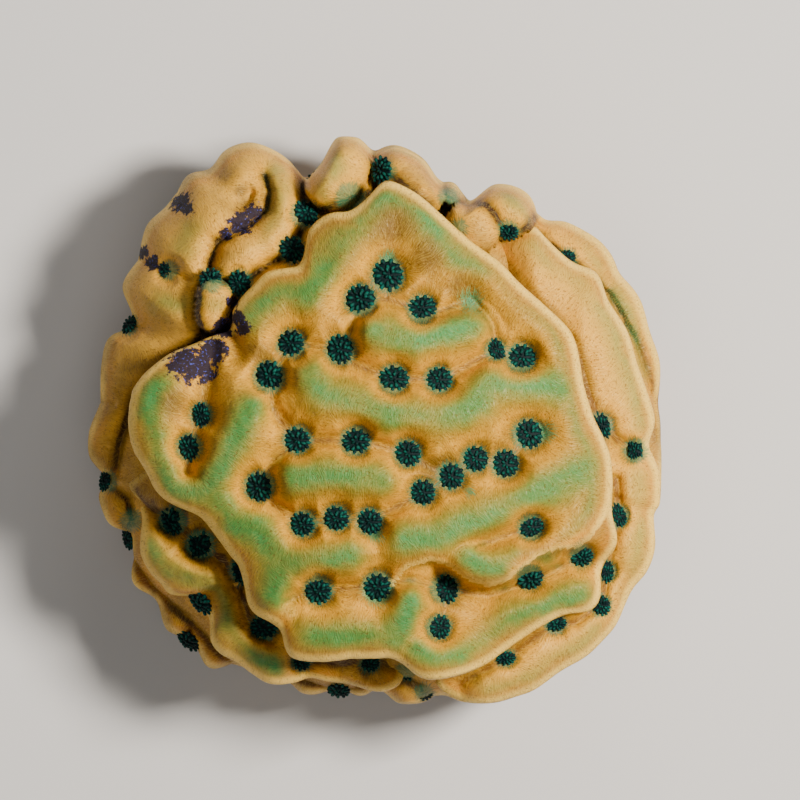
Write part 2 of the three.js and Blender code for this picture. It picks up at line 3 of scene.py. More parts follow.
import bmesh
import bpy
import numpy as np
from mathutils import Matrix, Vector


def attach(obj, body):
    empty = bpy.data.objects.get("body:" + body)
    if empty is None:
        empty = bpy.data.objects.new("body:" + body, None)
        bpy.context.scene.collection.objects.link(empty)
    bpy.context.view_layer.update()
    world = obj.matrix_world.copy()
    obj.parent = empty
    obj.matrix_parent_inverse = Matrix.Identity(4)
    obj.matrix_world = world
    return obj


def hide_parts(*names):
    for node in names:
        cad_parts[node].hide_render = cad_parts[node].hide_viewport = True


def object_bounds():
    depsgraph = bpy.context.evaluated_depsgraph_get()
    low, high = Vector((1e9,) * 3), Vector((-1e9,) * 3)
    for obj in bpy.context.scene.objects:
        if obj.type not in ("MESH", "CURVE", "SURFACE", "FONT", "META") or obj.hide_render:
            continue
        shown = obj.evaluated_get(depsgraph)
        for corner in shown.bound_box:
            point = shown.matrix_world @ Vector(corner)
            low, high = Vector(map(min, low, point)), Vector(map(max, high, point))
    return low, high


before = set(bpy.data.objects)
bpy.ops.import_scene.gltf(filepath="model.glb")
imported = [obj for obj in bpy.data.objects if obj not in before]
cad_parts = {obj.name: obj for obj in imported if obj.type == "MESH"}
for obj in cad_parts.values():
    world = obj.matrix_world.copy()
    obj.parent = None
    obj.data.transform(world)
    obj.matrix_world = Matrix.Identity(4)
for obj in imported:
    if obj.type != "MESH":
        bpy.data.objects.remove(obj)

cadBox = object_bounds()

# Sizes here are in millimetres, and meshes are written in metres
mm = 0.001

# What the whole colony shares: its size, and the plan in which its lines are drawn.
# Plan points are whole steps, x to the right and y to the front, with planSteps of them across the colony.
colony = {
    "width": 80.0,
    "height": 46.0,
    "baseWidth": 56.0,
    "planSteps": 582,
    "planMiddle": (375, 421),
    "seamLevel": 20.0,
    "seamGap": 0.4,
    "rimThickness": 3.4,
}
step = colony["width"] / colony["planSteps"]
farAway = 40.0
fullTurn = 2 * math.pi

crown = {
    "polypLift": 0.15,
    # The tissue: shares of green and peach, how far green and the dark floor reach, and the floor's colour: the
    # valleys' brown, darkened as painted shade in the creases
    "tissue": {"green": 1.0, "peach": 0.0, "greenReach": 4.3, "floorSpread": 0.0,
               "floor": (0.18, 0.075, 0.003, 1)},
    "middle": (375, 430),
    "domeDrop": 7.5,
    "skirtStep": 4.6,
    "groove": (3.7, 0.5),
    "stalk": 0.55,
    "edge": 2.6,
    "rim": [
        (388, 180), (415, 192), (440, 213), (470, 240), (500, 262), (520, 283), (548, 308), (570, 330), (578, 350),
        (583, 380), (589, 403), (595, 420), (605, 440), (611, 458), (613, 481), (612, 503), (613, 518), (618, 538),
        (615, 550), (605, 563), (601, 577), (602, 591), (599, 603), (590, 612), (573, 614), (560, 617), (535, 631),
        (509, 649), (484, 666), (458, 676), (433, 680), (418, 677), (404, 665), (390, 658), (374, 659), (351, 659),
        (327, 662), (301, 661), (289, 656), (284, 647), (283, 636), (276, 626), (256, 615), (248, 605), (244, 585),
        (238, 565), (232, 558), (215, 535), (200, 517), (180, 508), (165, 500), (155, 490), (145, 470), (133, 450),
        (128, 425), (130, 400), (135, 385), (150, 368), (172, 352), (195, 343), (213, 335), (230, 330), (232, 318),
        (233, 310), (243, 295), (255, 283), (266, 272), (284, 268), (299, 265), (305, 250), (308, 231), (320, 218),
        (333, 212), (349, 211), (365, 200), (376, 188),
    ],
    "lip": [
        (640, 478), (612, 497), (604, 518), (593, 538), (577, 549), (558, 551), (540, 557), (520, 572), (508, 582),
        (490, 588), (475, 585), (460, 577), (445, 566), (430, 562), (408, 568), (385, 600),
    ],
    "lipHeadings": (-1.36, -1.05, -0.62, -0.26),
    "grooves": [
        [(361, 299), (388, 300), (422, 309), (440, 312), (471, 301), (490, 325), (496, 350), (475, 362), (439, 380),
         (394, 379), (355, 365), (341, 350), (352, 330), (361, 299)],
        [(388, 300), (388, 276), (389, 262)],
        [(496, 350), (521, 358), (528, 359)],
        [(341, 350), (292, 344), (270, 377), (272, 407), (285, 425), (298, 440)],
        [(298, 440), (356, 441), (408, 453), (430, 468), (451, 476), (475, 459), (505, 464), (528, 434), (537, 431)],
        [(298, 440), (275, 460), (260, 486), (275, 505), (304, 524), (337, 518), (370, 521), (400, 505), (423, 492),
         (451, 476)],
        [(476, 547), (500, 537), (531, 527)],
        [(285, 600), (319, 590), (378, 586), (410, 580), (445, 589), (439, 627)],
        [(445, 589), (490, 594), (530, 580), (582, 556)],
        [(214, 345), (205, 400), (202, 415), (190, 447), (188, 472)],
        [(232, 335), (238, 355)],
    ],
    "crests": [
        [(250, 313), (282, 288), (307, 291), (333, 256), (347, 236), (380, 200)],
        [(385, 195), (409, 196), (436, 230), (461, 248), (485, 260)],
        [(538, 557), (508, 566), (487, 566), (470, 557)],
        [(311, 377), (326, 396), (358, 402), (390, 412), (430, 415), (462, 412), (481, 400), (491, 381), (506, 388),
         (558, 386)],
        [(375, 330), (397, 336), (416, 340), (450, 332), (475, 327)],
        [(294, 477), (340, 474), (380, 480)],
        [(585, 470), (557, 484), (500, 510), (436, 538), (405, 540)],
        [(156, 387), (144, 417), (156, 459), (172, 488), (190, 493), (208, 491)],
        [(252, 406), (236, 436), (222, 463), (208, 491), (218, 509), (229, 523), (254, 530), (273, 548), (280, 562),
         (277, 580), (273, 596)],
        [(282, 562), (309, 560), (348, 555)],
        [(316, 639), (348, 639), (390, 645), (400, 630), (411, 602)],
        [(419, 652), (437, 668), (471, 653), (497, 639), (509, 624), (554, 608), (579, 597)],
    ],
    "faintCrests": [
        [(545, 480), (575, 460), (590, 470), (592, 489)],
        [(485, 260), (519, 296), (551, 327), (568, 364), (567, 383), (580, 432), (591, 457)],
        [(592, 489), (589, 515), (570, 536), (538, 557)],
    ],
    # Painted shade: olive-brown darkening in the wide hollows near the tip
    "dusk": [
        ((392, 228), 34), ((425, 260), 30), ((462, 288), 24), ((255, 350), 20), ((440, 470), 30), ((176, 405), 24),
    ],
    # Where the green spreads out over broad ridges
    "meadow": [
        ((556, 384), 26), ((525, 500), 28), ((490, 515), 28), ((440, 535), 24), ((452, 412), 20), ((330, 392), 18),
        ((355, 640), 20), ((505, 630), 20), ((555, 600), 18), ((150, 420), 20), ((262, 300), 18), ((415, 338), 16),
    ],
    "bloom": [
        ((471, 301), 15), ((546, 432), 12), ((378, 592), 17), ((388, 258), 10), ((377, 537), 9), ((470, 492), 7),
    ],
    "polyps": [
        (388, 276, 32, 32), (361, 300, 31, 31), (422, 309, 31, 25), (341, 350, 28, 30), (292, 344, 29, 25),
        (270, 377, 29, 31), (394, 379, 32, 25), (439, 380, 28, 25), (496, 350, 17, 24), (521, 358, 31, 26),
        (298, 440, 29, 25), (356, 441, 32, 25), (408, 453, 28, 27), (260, 486, 28, 31), (475, 459, 27, 25),
        (451, 476, 27, 27), (505, 464, 28, 28), (423, 492, 27, 25), (528, 434, 29, 31), (304, 524, 28, 25),
        (337, 518, 27, 25), (370, 521, 26, 27), (531, 527, 27, 23), (202, 415, 18, 25), (190, 447, 22, 28),
        (319, 590, 29, 27), (378, 586, 30, 28), (445, 589, 28, 28), (439, 627, 25, 24), (530, 577, 28, 20),
        (582, 556, 24, 20),
    ],
}

# What both low plates share: levels, the gaps under the crown, and the narrow stalk
lowPlates = {
    "rimTop": 27.0,
    "belowUnder": 1.2,
    "belowTop": 4.4,
    "underside": 22.5,
    "stalk": 0.7,
    "edge": 2.4,
}

leftPlate = {
    "polypLift": 0.1,
    "tissue": {"green": 1.0, "peach": 0.4, "greenReach": 3.8, "floorSpread": 0.04,
               "floor": (0.06, 0.018, 0.001, 1)},
    "middle": (255, 575),
    "dive": (0.95, 1.02),
    "rise": 6.0,
    "groove": (3.2, 0.5),
    "rim": [
        (127, 484), (134, 495), (141, 517), (139, 544), (141, 558), (150, 574), (160, 584), (170, 595), (195, 598),
        (203, 609), (209, 621), (210, 641), (219, 654), (236, 663), (252, 675), (270, 685), (293, 684), (310, 679),
        (329, 683), (348, 685), (367, 691), (380, 693), (393, 690), (402, 682), (404, 660), (380, 620), (330, 575),
        (270, 520), (215, 470), (165, 462),
    ],
    "grooves": [
        [(130, 490), (150, 507), (172, 521), (200, 545), (225, 562), (240, 590), (250, 620), (270, 640)],
        [(193, 600), (192, 618)],
        [(301, 661), (340, 664), (370, 662), (400, 668)],
    ],
    "crests": [
        [(149, 545), (160, 570), (200, 590), (212, 600), (220, 630), (240, 650), (275, 668)],
    ],
    "polyps": [
        (172, 521, 25, 27), (200, 545, 24, 31), (193, 610, 23, 28), (244, 571, 27, 27), (264, 627, 29, 22),
        (301, 663, 20, 16), (370, 664, 20, 16),
    ],
}

rightPlate = {
    "polypLift": 0.1,
    "tissue": {"green": 0.4, "peach": 0.55, "greenReach": 3.0, "floorSpread": 0.03,
               "floor": (0.2, 0.08, 0.004, 1)},
    "middle": (545, 470),
    "dive": (0.9, 0.97),
    "rise": 7.0,
    "groove": (2.0, 0.4),
    "rim": [
        (530, 224), (541, 231), (552, 243), (573, 261), (595, 270), (603, 282), (609, 300), (628, 330), (638, 363),
        (648, 391), (656, 420), (650, 444), (655, 458), (661, 475), (661, 504), (655, 515), (656, 547), (648, 572),
        (632, 592), (618, 624), (604, 641), (586, 658), (560, 673), (535, 691), (509, 700), (484, 706), (460, 702),
        (440, 690), (430, 665), (455, 620), (490, 570), (502, 520), (505, 470), (495, 400), (480, 330), (472, 280),
        (500, 240),
    ],
    "grooves": [
        [(500, 262), (535, 300), (575, 345), (590, 400), (601, 426), (618, 440), (636, 451)],
        [(616, 480), (619, 516), (612, 545), (607, 570), (602, 606), (575, 622), (556, 624), (506, 658), (460, 685)],
    ],
    "crests": [
        [(532, 236), (550, 256), (580, 277), (600, 305), (620, 345), (634, 385), (643, 415), (646, 440)],
        [(646, 440), (640, 480), (642, 520), (640, 560), (622, 600), (590, 640), (540, 675), (490, 692)],
    ],
    "polyps": [
        (601, 426, 20, 28), (636, 451, 16, 29), (619, 516, 16, 25), (607, 572, 16, 22), (602, 606, 19, 20),
        (556, 624, 24, 14), (506, 658, 22, 14),
    ],
}

mound = {
    "polypLift": 0.2,
    # The mound's near-black floor colour is painted shade in its creases
    "tissue": {"green": 0.45, "peach": 0.6, "greenReach": 2.8, "floorSpread": 0.09,
               "floor": (0.025, 0.007, 0.001, 1)},
    # Painted shade in the mound's deep hollows
    "dusk": [((246, 206), 17), ((240, 190), 12), ((352, 205), 12), ((447, 212), 12)],
    "groove": (5.4, 3.8),
    "edgeNotch": 0.14,
    "rim": [
        (349, 132), (360, 136), (369, 145), (375, 148), (382, 145), (396, 143), (414, 150), (427, 160), (439, 176),
        (454, 179), (462, 188), (474, 198), (489, 184), (503, 181), (519, 184), (532, 192), (540, 204), (549, 217),
        (568, 219), (595, 234), (606, 244), (615, 257), (621, 272), (633, 285), (642, 298), (647, 312), (652, 330),
        (660, 352), (664, 370), (663, 403), (666, 426), (666, 466), (663, 504), (656, 515), (658, 547), (650, 572),
        (634, 592), (620, 624), (605, 642), (586, 661), (560, 675), (535, 693), (509, 702), (484, 708), (458, 703),
        (445, 698), (431, 704), (406, 711), (380, 694), (361, 700), (338, 695), (311, 698), (297, 694), (287, 686),
        (236, 669), (208, 671), (192, 647), (165, 632), (153, 603), (128, 584), (127, 540), (105, 526), (96, 495),
        (105, 480), (95, 468), (83, 445), (96, 405), (98, 367), (105, 338), (126, 324), (128, 307), (120, 285),
        (136, 256), (145, 224), (165, 205), (176, 188), (188, 172), (209, 167), (224, 148), (250, 140), (279, 151),
        (298, 167), (304, 176), (322, 157), (336, 134),
    ],
    "grooves": [
        [(264, 174), (269, 190), (266, 208), (252, 220), (232, 230), (216, 242), (209, 262), (207, 278)],
        [(207, 278), (198, 292), (197, 312), (203, 332), (190, 348), (160, 370), (132, 398), (118, 440), (112, 476)],
        [(211, 281), (241, 283), (268, 264), (293, 251), (306, 215), (352, 199)],
        [(306, 215), (302, 192), (302, 172), (304, 160)],
        [(241, 283), (238, 300), (232, 318), (215, 338), (203, 332)],
        [(352, 199), (374, 190), (376, 172), (374, 150)],
        [(383, 170), (398, 180), (430, 205)],
        [(444, 172), (446, 190), (449, 200)],
        [(449, 200), (470, 199), (488, 206), (500, 222), (505, 236), (525, 229), (541, 208)],
        [(541, 206), (530, 228), (568, 257), (612, 292), (642, 345), (660, 400), (662, 440)],
        [(100, 482), (125, 500), (130, 521), (118, 548), (150, 590), (190, 625), (180, 655)],
        [(190, 625), (236, 676), (300, 684), (338, 697), (406, 680), (425, 700)],
        [(372, 688), (380, 700)],
        [(406, 680), (440, 706)],
    ],
    "notches": [
        [(134, 258), (152, 264), (168, 270), (190, 278)],
        [(122, 324), (142, 327)],
        [(176, 190), (181, 206)],
        [(463, 186), (470, 199)],
        [(96, 402), (112, 404)],
        [(250, 190), (240, 205)],
    ],
    "crests": [
        [(275, 170), (280, 200), (272, 235)],
        [(335, 160), (335, 178), (326, 195)],
        [(190, 230), (180, 250)],
        [(160, 300), (180, 305)],
        [(215, 300), (222, 293)],
        [(580, 236), (612, 275), (636, 320), (650, 370)],
        [(510, 195), (520, 210)],
    ],
    # Swellings and one wide hollow, each with a reach and a height
    "swellings": [((278, 185), 34, 1.5), ((250, 196), 30, -3.0), ((190, 215), 34, 1.2)],
    # Round lobes that stand up between the plates: two ends, a radius and the two top levels
    "lobes": [
        ((473, 226), (474, 227), 28, 36.6, 36.6), ((508, 206), (509, 207), 32, 35.0, 35.0),
        ((452, 189), (453, 190), 15, 32.5, 32.5), ((345, 160), (333, 182), 29, 31.5, 35.0),
        ((404, 168), (416, 190), 30, 31.5, 35.0), ((214, 296), (212, 314), 18, 36.0, 35.2),
    ],
    "flankPolyps": 30,
    "flankReach": 34.0,
    "shoulders": [
        (-180, 27), (-150, 28), (-120, 29), (-90, 30), (-60, 30), (-30, 29), (0, 29), (30, 29), (50, 30),
        (70, 33), (90, 35), (110, 35), (130, 36), (150, 34), (165, 30), (180, 27),
    ],
    "polyps": [
        (350, 197, 30, 24), (305, 214, 27, 25), (292, 250, 26, 26), (240, 283, 24, 24), (211, 280, 24, 18),
        (130, 521, 16, 22), (105, 482, 18, 20), (126, 324, 21, 16), (168, 270, 20, 14), (113, 547, 18, 20),
        (180, 650, 26, 24), (338, 694, 24, 12), (406, 672, 20, 14), (425, 694, 18, 14), (383, 170, 27, 16),
        (449, 197, 19, 17), (458, 228, 16, 14), (509, 231, 18, 20), (568, 257, 18, 14), (308, 156, 26, 22),
    ],
}

# Where tissue has gone and dark blue-speckled algae has settled, as places with a reach
algae = [
    ((197, 366), 24), ((212, 350), 18), ((182, 362), 18), ((222, 330), 13), ((236, 318), 10), ((232, 302), 8),
    ((244, 329), 10), ((240, 222), 15), ((252, 212), 12), ((225, 234), 8), ((180, 202), 13), ((186, 208), 9),
    ((141, 252), 9), ((152, 262), 10), ((163, 268), 8),
]
pit = (0.5, 1.6)


def toPlaces(points):
    middle = colony["planMiddle"]
    flat = np.array([(point[0], point[1]) for point in points], dtype=float)
    return np.column_stack([(flat[:, 0] - middle[0]) * step, (middle[1] - flat[:, 1]) * step])


def lengths(arms):
    return np.hypot(arms[:, 0], arms[:, 1])


def smooth(value, start, end):
    share = np.clip((value - start) / (end - start), 0.0, 1.0)
    return share * share * (3.0 - 2.0 * share)


def mix(start, end, share):
    return start + (end - start) * share


def bump(distance, reach):
    return np.where(distance < reach, 0.5 + 0.5 * np.cos(math.pi * np.minimum(distance / reach, 1.0)), 0.0)


# Distance, signed to the left, and direction from the nearest point
def nearestOnPath(places, path):
    best = np.full(len(places), 1e9)
    arm = np.zeros((len(places), 2))
    side = np.ones(len(places))
    for start, end in zip(path[:-1], path[1:]):
        along = end - start
        reached = places - start
        share = np.clip(reached @ along / max(along @ along, 1e-9), 0.0, 1.0)
        gap = reached - share[:, None] * along
        distance = lengths(gap)
        nearer = distance < best
        best = np.where(nearer, distance, best)
        arm[nearer] = gap[nearer]
        cross = along[0] * reached[:, 1] - along[1] * reached[:, 0]
        side = np.where(nearer, np.where(cross > 0, 1.0, -1.0), side)
    return best, side, arm


def smoothClosed(points, parts=8):
    knots = toPlaces(points)
    before, after, later = np.roll(knots, 1, 0), np.roll(knots, -1, 0), np.roll(knots, -2, 0)
    rows = []
    for t in np.arange(parts) / parts:
        rows.append(0.5 * (2 * knots + (after - before) * t
                           + (2 * before - 5 * knots + 4 * after - later) * t ** 2
                           + (3 * knots - before - 3 * after + later) * t ** 3))
    return np.stack(rows, 1).reshape(-1, 2)


# A closed rim seen from a middle, as a distance for every heading
class Rim:

    def __init__(self, points, middle):
        self.origin = toPlaces([middle])[0]
        arms = smoothClosed(points) - self.origin
        angles = np.arctan2(arms[:, 1], arms[:, 0])
        order = np.argsort(angles)
        self.even = np.linspace(-math.pi, math.pi, 720, endpoint=False)
        radii = np.interp(self.even, angles[order], lengths(arms)[order], period=fullTurn)
        self.radii = sum(np.roll(radii, turn) for turn in range(-2, 3)) / 5
        self.soft = sum(np.roll(radii, turn) for turn in range(-28, 29)) / 57

    def radius(self, heading):
        return np.interp(heading, self.even, self.radii, period=fullTurn)

    # Like radius, but for a rim without its small bays
    def softRadius(self, heading):
        return np.interp(heading, self.even, self.soft, period=fullTurn)

    def polar(self, places):
        arms = places - self.origin
        return lengths(arms), np.arctan2(arms[:, 1], arms[:, 0])

    def softShare(self, places):
        distance, heading = self.polar(places)
        return distance / self.softRadius(heading)

    def share(self, places):
        distance, heading = self.polar(places)
        return distance / self.radius(heading)

    def inward(self, places):
        distance, heading = self.polar(places)
        return self.radius(heading) - distance


crownRim = Rim(crown["rim"], crown["middle"])
leftRim = Rim(leftPlate["rim"], leftPlate["middle"])
rightRim = Rim(rightPlate["rim"], rightPlate["middle"])
colonyRim = Rim(mound["rim"], colony["planMiddle"])
lipPath = toPlaces(crown["lip"])


def crestLines(piece):
    return piece["crests"] + piece.get("faintCrests", [])


def nearestOf(places, lines):
    best = np.full(len(places), farAway)
    for line in lines:
        best = np.minimum(best, nearestOnPath(places, toPlaces(line))[0])
    return best


def distanceFrom(places, point):
    return lengths(places - toPlaces([point])[0])


# Distance from the edge of the nearest polyp, negative on it
def polypGaps(places, piece):
    best = np.full(len(places), farAway)
    for polyp in piece["polyps"]:
        best = np.minimum(best, distanceFrom(places, polyp) - 0.25 * (polyp[2] + polyp[3]) * step)
    return best


# A gentle unevenness from a few crossing waves
def waves(places, seed, pitch):
    total = np.zeros(len(places))
    for index in range(5):
        angle = seed + 1.257 * index
        along = places[:, 0] * math.cos(angle) + places[:, 1] * math.sin(angle)
        side = places[:, 1] * math.cos(angle) - places[:, 0] * math.sin(angle)
        total += np.sin(2 * math.pi * along / pitch + 1.3 * np.sin(2.1 * side / pitch + seed + index))
    return total / 5


# Valley floors stay level for a while, walls rise to the crest lines, and polyps sit in small pits
def hollowsOf(piece, places):
    depth, floorHalf = piece["groove"]
    fromPolyps = polypGaps(places, piece)
    fromFloor = np.maximum(np.minimum(nearestOf(places, piece["grooves"]) - floorHalf, fromPolyps), 0.0)
    toCrest = np.minimum(nearestOf(places, crestLines(piece)), 6.0)
    share = np.minimum(fromFloor / (fromFloor + toCrest + 0.3) / 0.78, 1.0)
    hollow = depth * (1.0 - share) ** 2 * smooth(toCrest, 0.2, 3.0)
    hollow += pit[0] * bump(np.maximum(fromPolyps + pit[1], 0.0), pit[1])
    rounding = 0.5 * np.minimum(toCrest / 4.0, 1.0) ** 2
    return hollow + rounding + 0.12 * waves(places, 0.4, 5.3) + 0.05 * waves(places, 2.0, 2.1)


# Lobes bulge like cushions between narrow creases
def creasesOf(piece, places):
    depth, reach = piece["groove"]
    hollow = np.zeros(len(places))
    for lines, share in ((piece["grooves"], 1.0), (piece["notches"], 0.5)):
        inward = 1.0 - np.minimum(nearestOf(places, lines) / (reach * (0.4 + 0.6 * share)), 1.0)
        hollow = np.maximum(hollow, share * depth * (1.0 - np.sqrt(1.0 - 0.96 * inward ** 2)))
    fromPolyps = polypGaps(places, piece)
    hollow = np.maximum(hollow, 1.6 * (1.0 - smooth(fromPolyps, 0.0, 1.6)))
    hollow = np.minimum(hollow, 1.9 + 3.5 * smooth(fromPolyps, -0.6, 1.4))
    return hollow + 0.12 * waves(places, 0.9, 5.0)


def crownTop(places):
    share = crownRim.softShare(places)
    _, heading = crownRim.polar(places)
    distance, side, _ = nearestOnPath(places, lipPath)
    ends = crown["lipHeadings"]
    stepShare = smooth(heading, ends[0], ends[1]) * (1 - smooth(heading, ends[2], ends[3]))
    stepDown = crown["skirtStep"] * stepShare * smooth(distance * side, -0.55, 0.55)
    return colony["height"] - crown["domeDrop"] * share ** 2 - stepDown - hollowsOf(crown, places)


def crownUnder(share):
    return mix(27.0, 34.4, smooth(share, 0.55, 1.0)) - 0.4 * smooth(share, 0.9, 1.0)


def lowUnder(share):
    return np.full(len(share), lowPlates["underside"])


def lowerPlateTop(piece, rim, dive):
    def top(places):
        own = lowPlates["rimTop"] + piece["rise"] * smooth(rim.inward(places), -3.0, 11.0)
        own = own - hollowsOf(piece, places)
        underCrown = np.minimum(crownUnder(crownRim.share(places)) - lowPlates["belowUnder"],
                                crownTop(places) - lowPlates["belowTop"])
        hidden = 1.0 - smooth(crownRim.share(places), dive[0], dive[1])
        return np.minimum(own, mix(own, underCrown, hidden))
    return top


# Points and faces of a round ball of even triangles
def ballMesh(subdivisions):
    ball = bmesh.new()
    bmesh.ops.create_icosphere(ball, subdivisions=subdivisions, radius=1.0)
    points = np.array([vertex.co[:] for vertex in ball.verts])
    ball.verts.ensure_lookup_table()
    faces = np.array([[vertex.index for vertex in face.verts] for face in ball.faces])
    ball.free()
    return points / np.linalg.norm(points, axis=1)[:, None], faces


# A ball pressed to a plate: its cap is the top, and the rest is the underside and the stalk
def pressPlate(rim, top, under, form, ball):
    cap, neck, stalk = math.radians(118), 0.62, form["stalk"]
    tilt = np.arccos(np.clip(ball[:, 2], -1, 1))
    heading = np.arctan2(ball[:, 1], ball[:, 0])
    reach = rim.radius(heading)
    bottom = colony["seamLevel"] + colony["seamGap"]
    ray = np.column_stack([np.cos(heading), np.sin(heading)])
    half = colony["rimThickness"] / 2
    share = np.where(tilt <= cap, np.sin(tilt / 2) / math.sin(cap / 2), 0.0)
    along = np.clip((tilt - cap) / (math.pi - cap), 0.0, 1.0)
    toNeck = mix(1.0, stalk, (np.minimum(along, neck) / neck) ** 1.3)
    toMiddle = mix(stalk, 0.0, (np.maximum(along, neck) - neck) / (1.0 - neck))
    share = np.where(tilt > cap, np.where(along < neck, toNeck, toMiddle), share)
    places = rim.origin + ray * (share * reach)[:, None]
    inset = np.minimum(1.0, (1.0 - share) * reach / form["edge"])
    topLevel = top(places) - half * (1 - np.sqrt(1 - (1 - inset) ** 2))
    hang = top(rim.origin + ray * reach[:, None]) - half
    hang = hang - half * smooth(along, 0.0, 0.16)
    inner = np.minimum(np.minimum(hang, under(share)), top(places) - 0.8 * colony["rimThickness"])
    low = mix(inner, bottom, smooth(along, 0.44, 0.6))
    low = mix(hang, low, smooth(along, 0.05, 0.4))
    level = np.where(tilt <= cap, topLevel, low)
    return np.column_stack([places, level])


def shoulderLevel(heading):
    degrees = np.degrees(heading)
    angles, levels = np.array(mound["shoulders"], dtype=float).T
    after = np.clip(np.searchsorted(angles, degrees), 1, len(angles) - 1)
    share = smooth(degrees, angles[after - 1], angles[after])
    return mix(levels[after - 1], levels[after], share)


# The same angle, between minus and plus half a turn
def halfTurned(angle):
    return (angle + math.pi) % fullTurn - math.pi


# Polyps of the flank follow one another by the same turn, at levels that never repeat
def flankSeats():
    seats = []
    for index in range(mound["flankPolyps"]):
        heading = (index * 2.4 + 0.4) % fullTurn - math.pi
        seats.append((heading, mix(3.5, 13.0, (index * 0.7549) % 1.0)))
    return seats


def flankGaps(heading, level):
    best = np.full(len(level), farAway)
    for seatHeading, seatLevel in flankSeats():
        turn = halfTurned(heading - seatHeading)
        best = np.minimum(best, np.hypot(turn * mound["flankReach"], level - seatLevel))
    return best


# Ledges that wander round the flank, broken by lobes, with a pit for each polyp
def flankRelief(heading, level):
    fold = math.pi * level / 9.0 + 0.9 * np.sin(2 * heading + 0.5) + 0.6 * np.sin(5 * heading)
    ledges = 3.0 * np.abs(np.cos(fold)) ** 0.8 - 3.6
    swell = 1.1 * np.sin(7 * heading + 0.25 * level) + 0.5 * np.sin(11 * heading - 0.3 * level + 1.3)
    return np.minimum(ledges + swell, 0.0) - 1.2 * bump(flankGaps(heading, level), 3.2)


# Rings from the hidden pad over the shoulder and the flank to the flat foot
def pressMound(around, rows):
    padShare, wallShare = 0.42, 0.5
    pad, wall, widestAt, foot = 0.03, 0.06, 0.62, 0.97
    footShare = colony["baseWidth"] / colony["width"]
    v = np.linspace(0.0, 1.0, rows + 1)[1:-1]
    u = np.linspace(-math.pi, math.pi, around, endpoint=False)
    along, heading = [grid.ravel() for grid in np.meshgrid(v, u, indexing="ij")]
    heading = halfTurned(heading - 0.45 * np.sin(heading - 2.2))
    shoulder = shoulderLevel(heading)
    widest = np.minimum(shoulder - 8, 17.0)
    climb = np.clip((along - pad) / (wall - pad), 0, 1)
    over = np.clip((along - wall) / (widestAt - wall), 0, 1) * math.pi / 2
    down = np.clip((along - widestAt) / (foot - widestAt), 0, 1) * math.pi / 2
    zones = [along <= pad, along <= wall, along <= widestAt, along <= foot]
    share = np.select(zones, [padShare * along / pad, mix(padShare, wallShare, climb),
                              mix(wallShare, 1.0, np.sin(over)), mix(footShare, 1.0, np.cos(down))],
                      footShare * (1 - along) / (1 - foot))
    level = np.select(zones, [colony["seamLevel"] + 0 * along, mix(colony["seamLevel"], shoulder, climb),
                              mix(widest, shoulder, np.cos(over)), widest * (1 - np.sin(down))], 0.0)
    upward = np.select(zones, [0 * along, climb, np.cos(over), 0 * along], 0.0)
    outward = np.select(zones, [0 * along, 0 * along, np.sin(over), np.cos(down)], 0.0)
    ray = np.column_stack([np.cos(heading), np.sin(heading)])
    lowReach = colonyRim.softRadius(heading) - 0.6
    reach = mix(colonyRim.radius(heading), lowReach, smooth(along, widestAt, widestAt + 0.24))
    places = colonyRim.origin + ray * (share * reach)[:, None]
    start = widestAt - 0.06 + 0.04 * np.sin(3 * heading + 1.0)
    onFlank = smooth(along - start, 0.0, 0.22) * (1 - smooth(along, foot - 0.1, 1.0))
    rise = -creasesOf(mound, places) * (1.0 - onFlank)
    for at, swellReach, swellRise in mound["swellings"]:
        rise = rise + swellRise * bump(distanceFrom(places, at), swellReach * step)
    sideways = np.minimum(0, rise) * outward * mound["edgeNotch"] + flankRelief(heading, level) * onFlank
    moved = places + ray * sideways[:, None]
    levels = level + rise * upward
    lift = np.zeros(len(levels))
    for start, end, radius, startTop, endTop in mound["lobes"]:
        ends = toPlaces([start, end])
        alongLobe = ends[1] - ends[0]
        share = np.clip((moved - ends[0]) @ alongLobe / (alongLobe @ alongLobe), 0.0, 1.0)
        gap = moved - ends[0] - share[:, None] * alongLobe
        inside = (radius * step) ** 2 - gap[:, 0] ** 2 - gap[:, 1] ** 2
        top = mix(startTop, endTop, share) - radius * step + np.sqrt(np.maximum(inside, 0.0))
        lift = np.where((inside > 0) & (climb >= 1), np.maximum(lift, top - levels), lift)
    levels = levels + lift * smooth(upward, 0.05, 0.6)
    points = np.column_stack([moved, levels])
    points = np.vstack([points, [[0, 0, colony["seamLevel"]], [0, 0, 0.0]]])
    faces = []
    ring = np.arange(around)
    after = (ring + 1) % around
    for row in range(rows - 2):
        near, far = row * around, (row + 1) * around
        faces.append(np.column_stack([near + ring, far + ring, far + after]))
        faces.append(np.column_stack([near + ring, far + after, near + after]))
    top, bottom = len(points) - 2, len(points) - 1
    last = (rows - 2) * around
    faces.append(np.column_stack([np.full(around, top), ring, after]))
    faces.append(np.column_stack([np.full(around, bottom), last + after, last + ring]))
    return points, np.vstack(faces)


# Doubled angle of the direction in which the fine ribs run: away from grooves, polyps and rims
def grainOf(places, piece, rim):
    doubled = np.zeros((len(places), 2))
    spread = 1.3

    def lean(arms, distance):
        length = np.maximum(lengths(arms), 1e-6)
        x, y = arms[:, 0] / length, arms[:, 1] / length
        weight = np.exp(-distance / spread) * np.minimum(length / 0.5, 1.0)
        doubled[:, 0] += weight * (x * x - y * y)
        doubled[:, 1] += weight * 2 * x * y

    for groove in piece["grooves"]:
        distance, _, arms = nearestOnPath(places, toPlaces(groove))
        lean(arms, distance + 0.6)
    for polyp in piece["polyps"]:
        lean(places - toPlaces([polyp])[0], np.maximum(distanceFrom(places, polyp) - 2.2, 0.0))
    lean(places - rim.origin, np.abs(rim.inward(places)) + 0.8)
    length = np.maximum(lengths(doubled), 1e-9)
    return doubled / length[:, None]
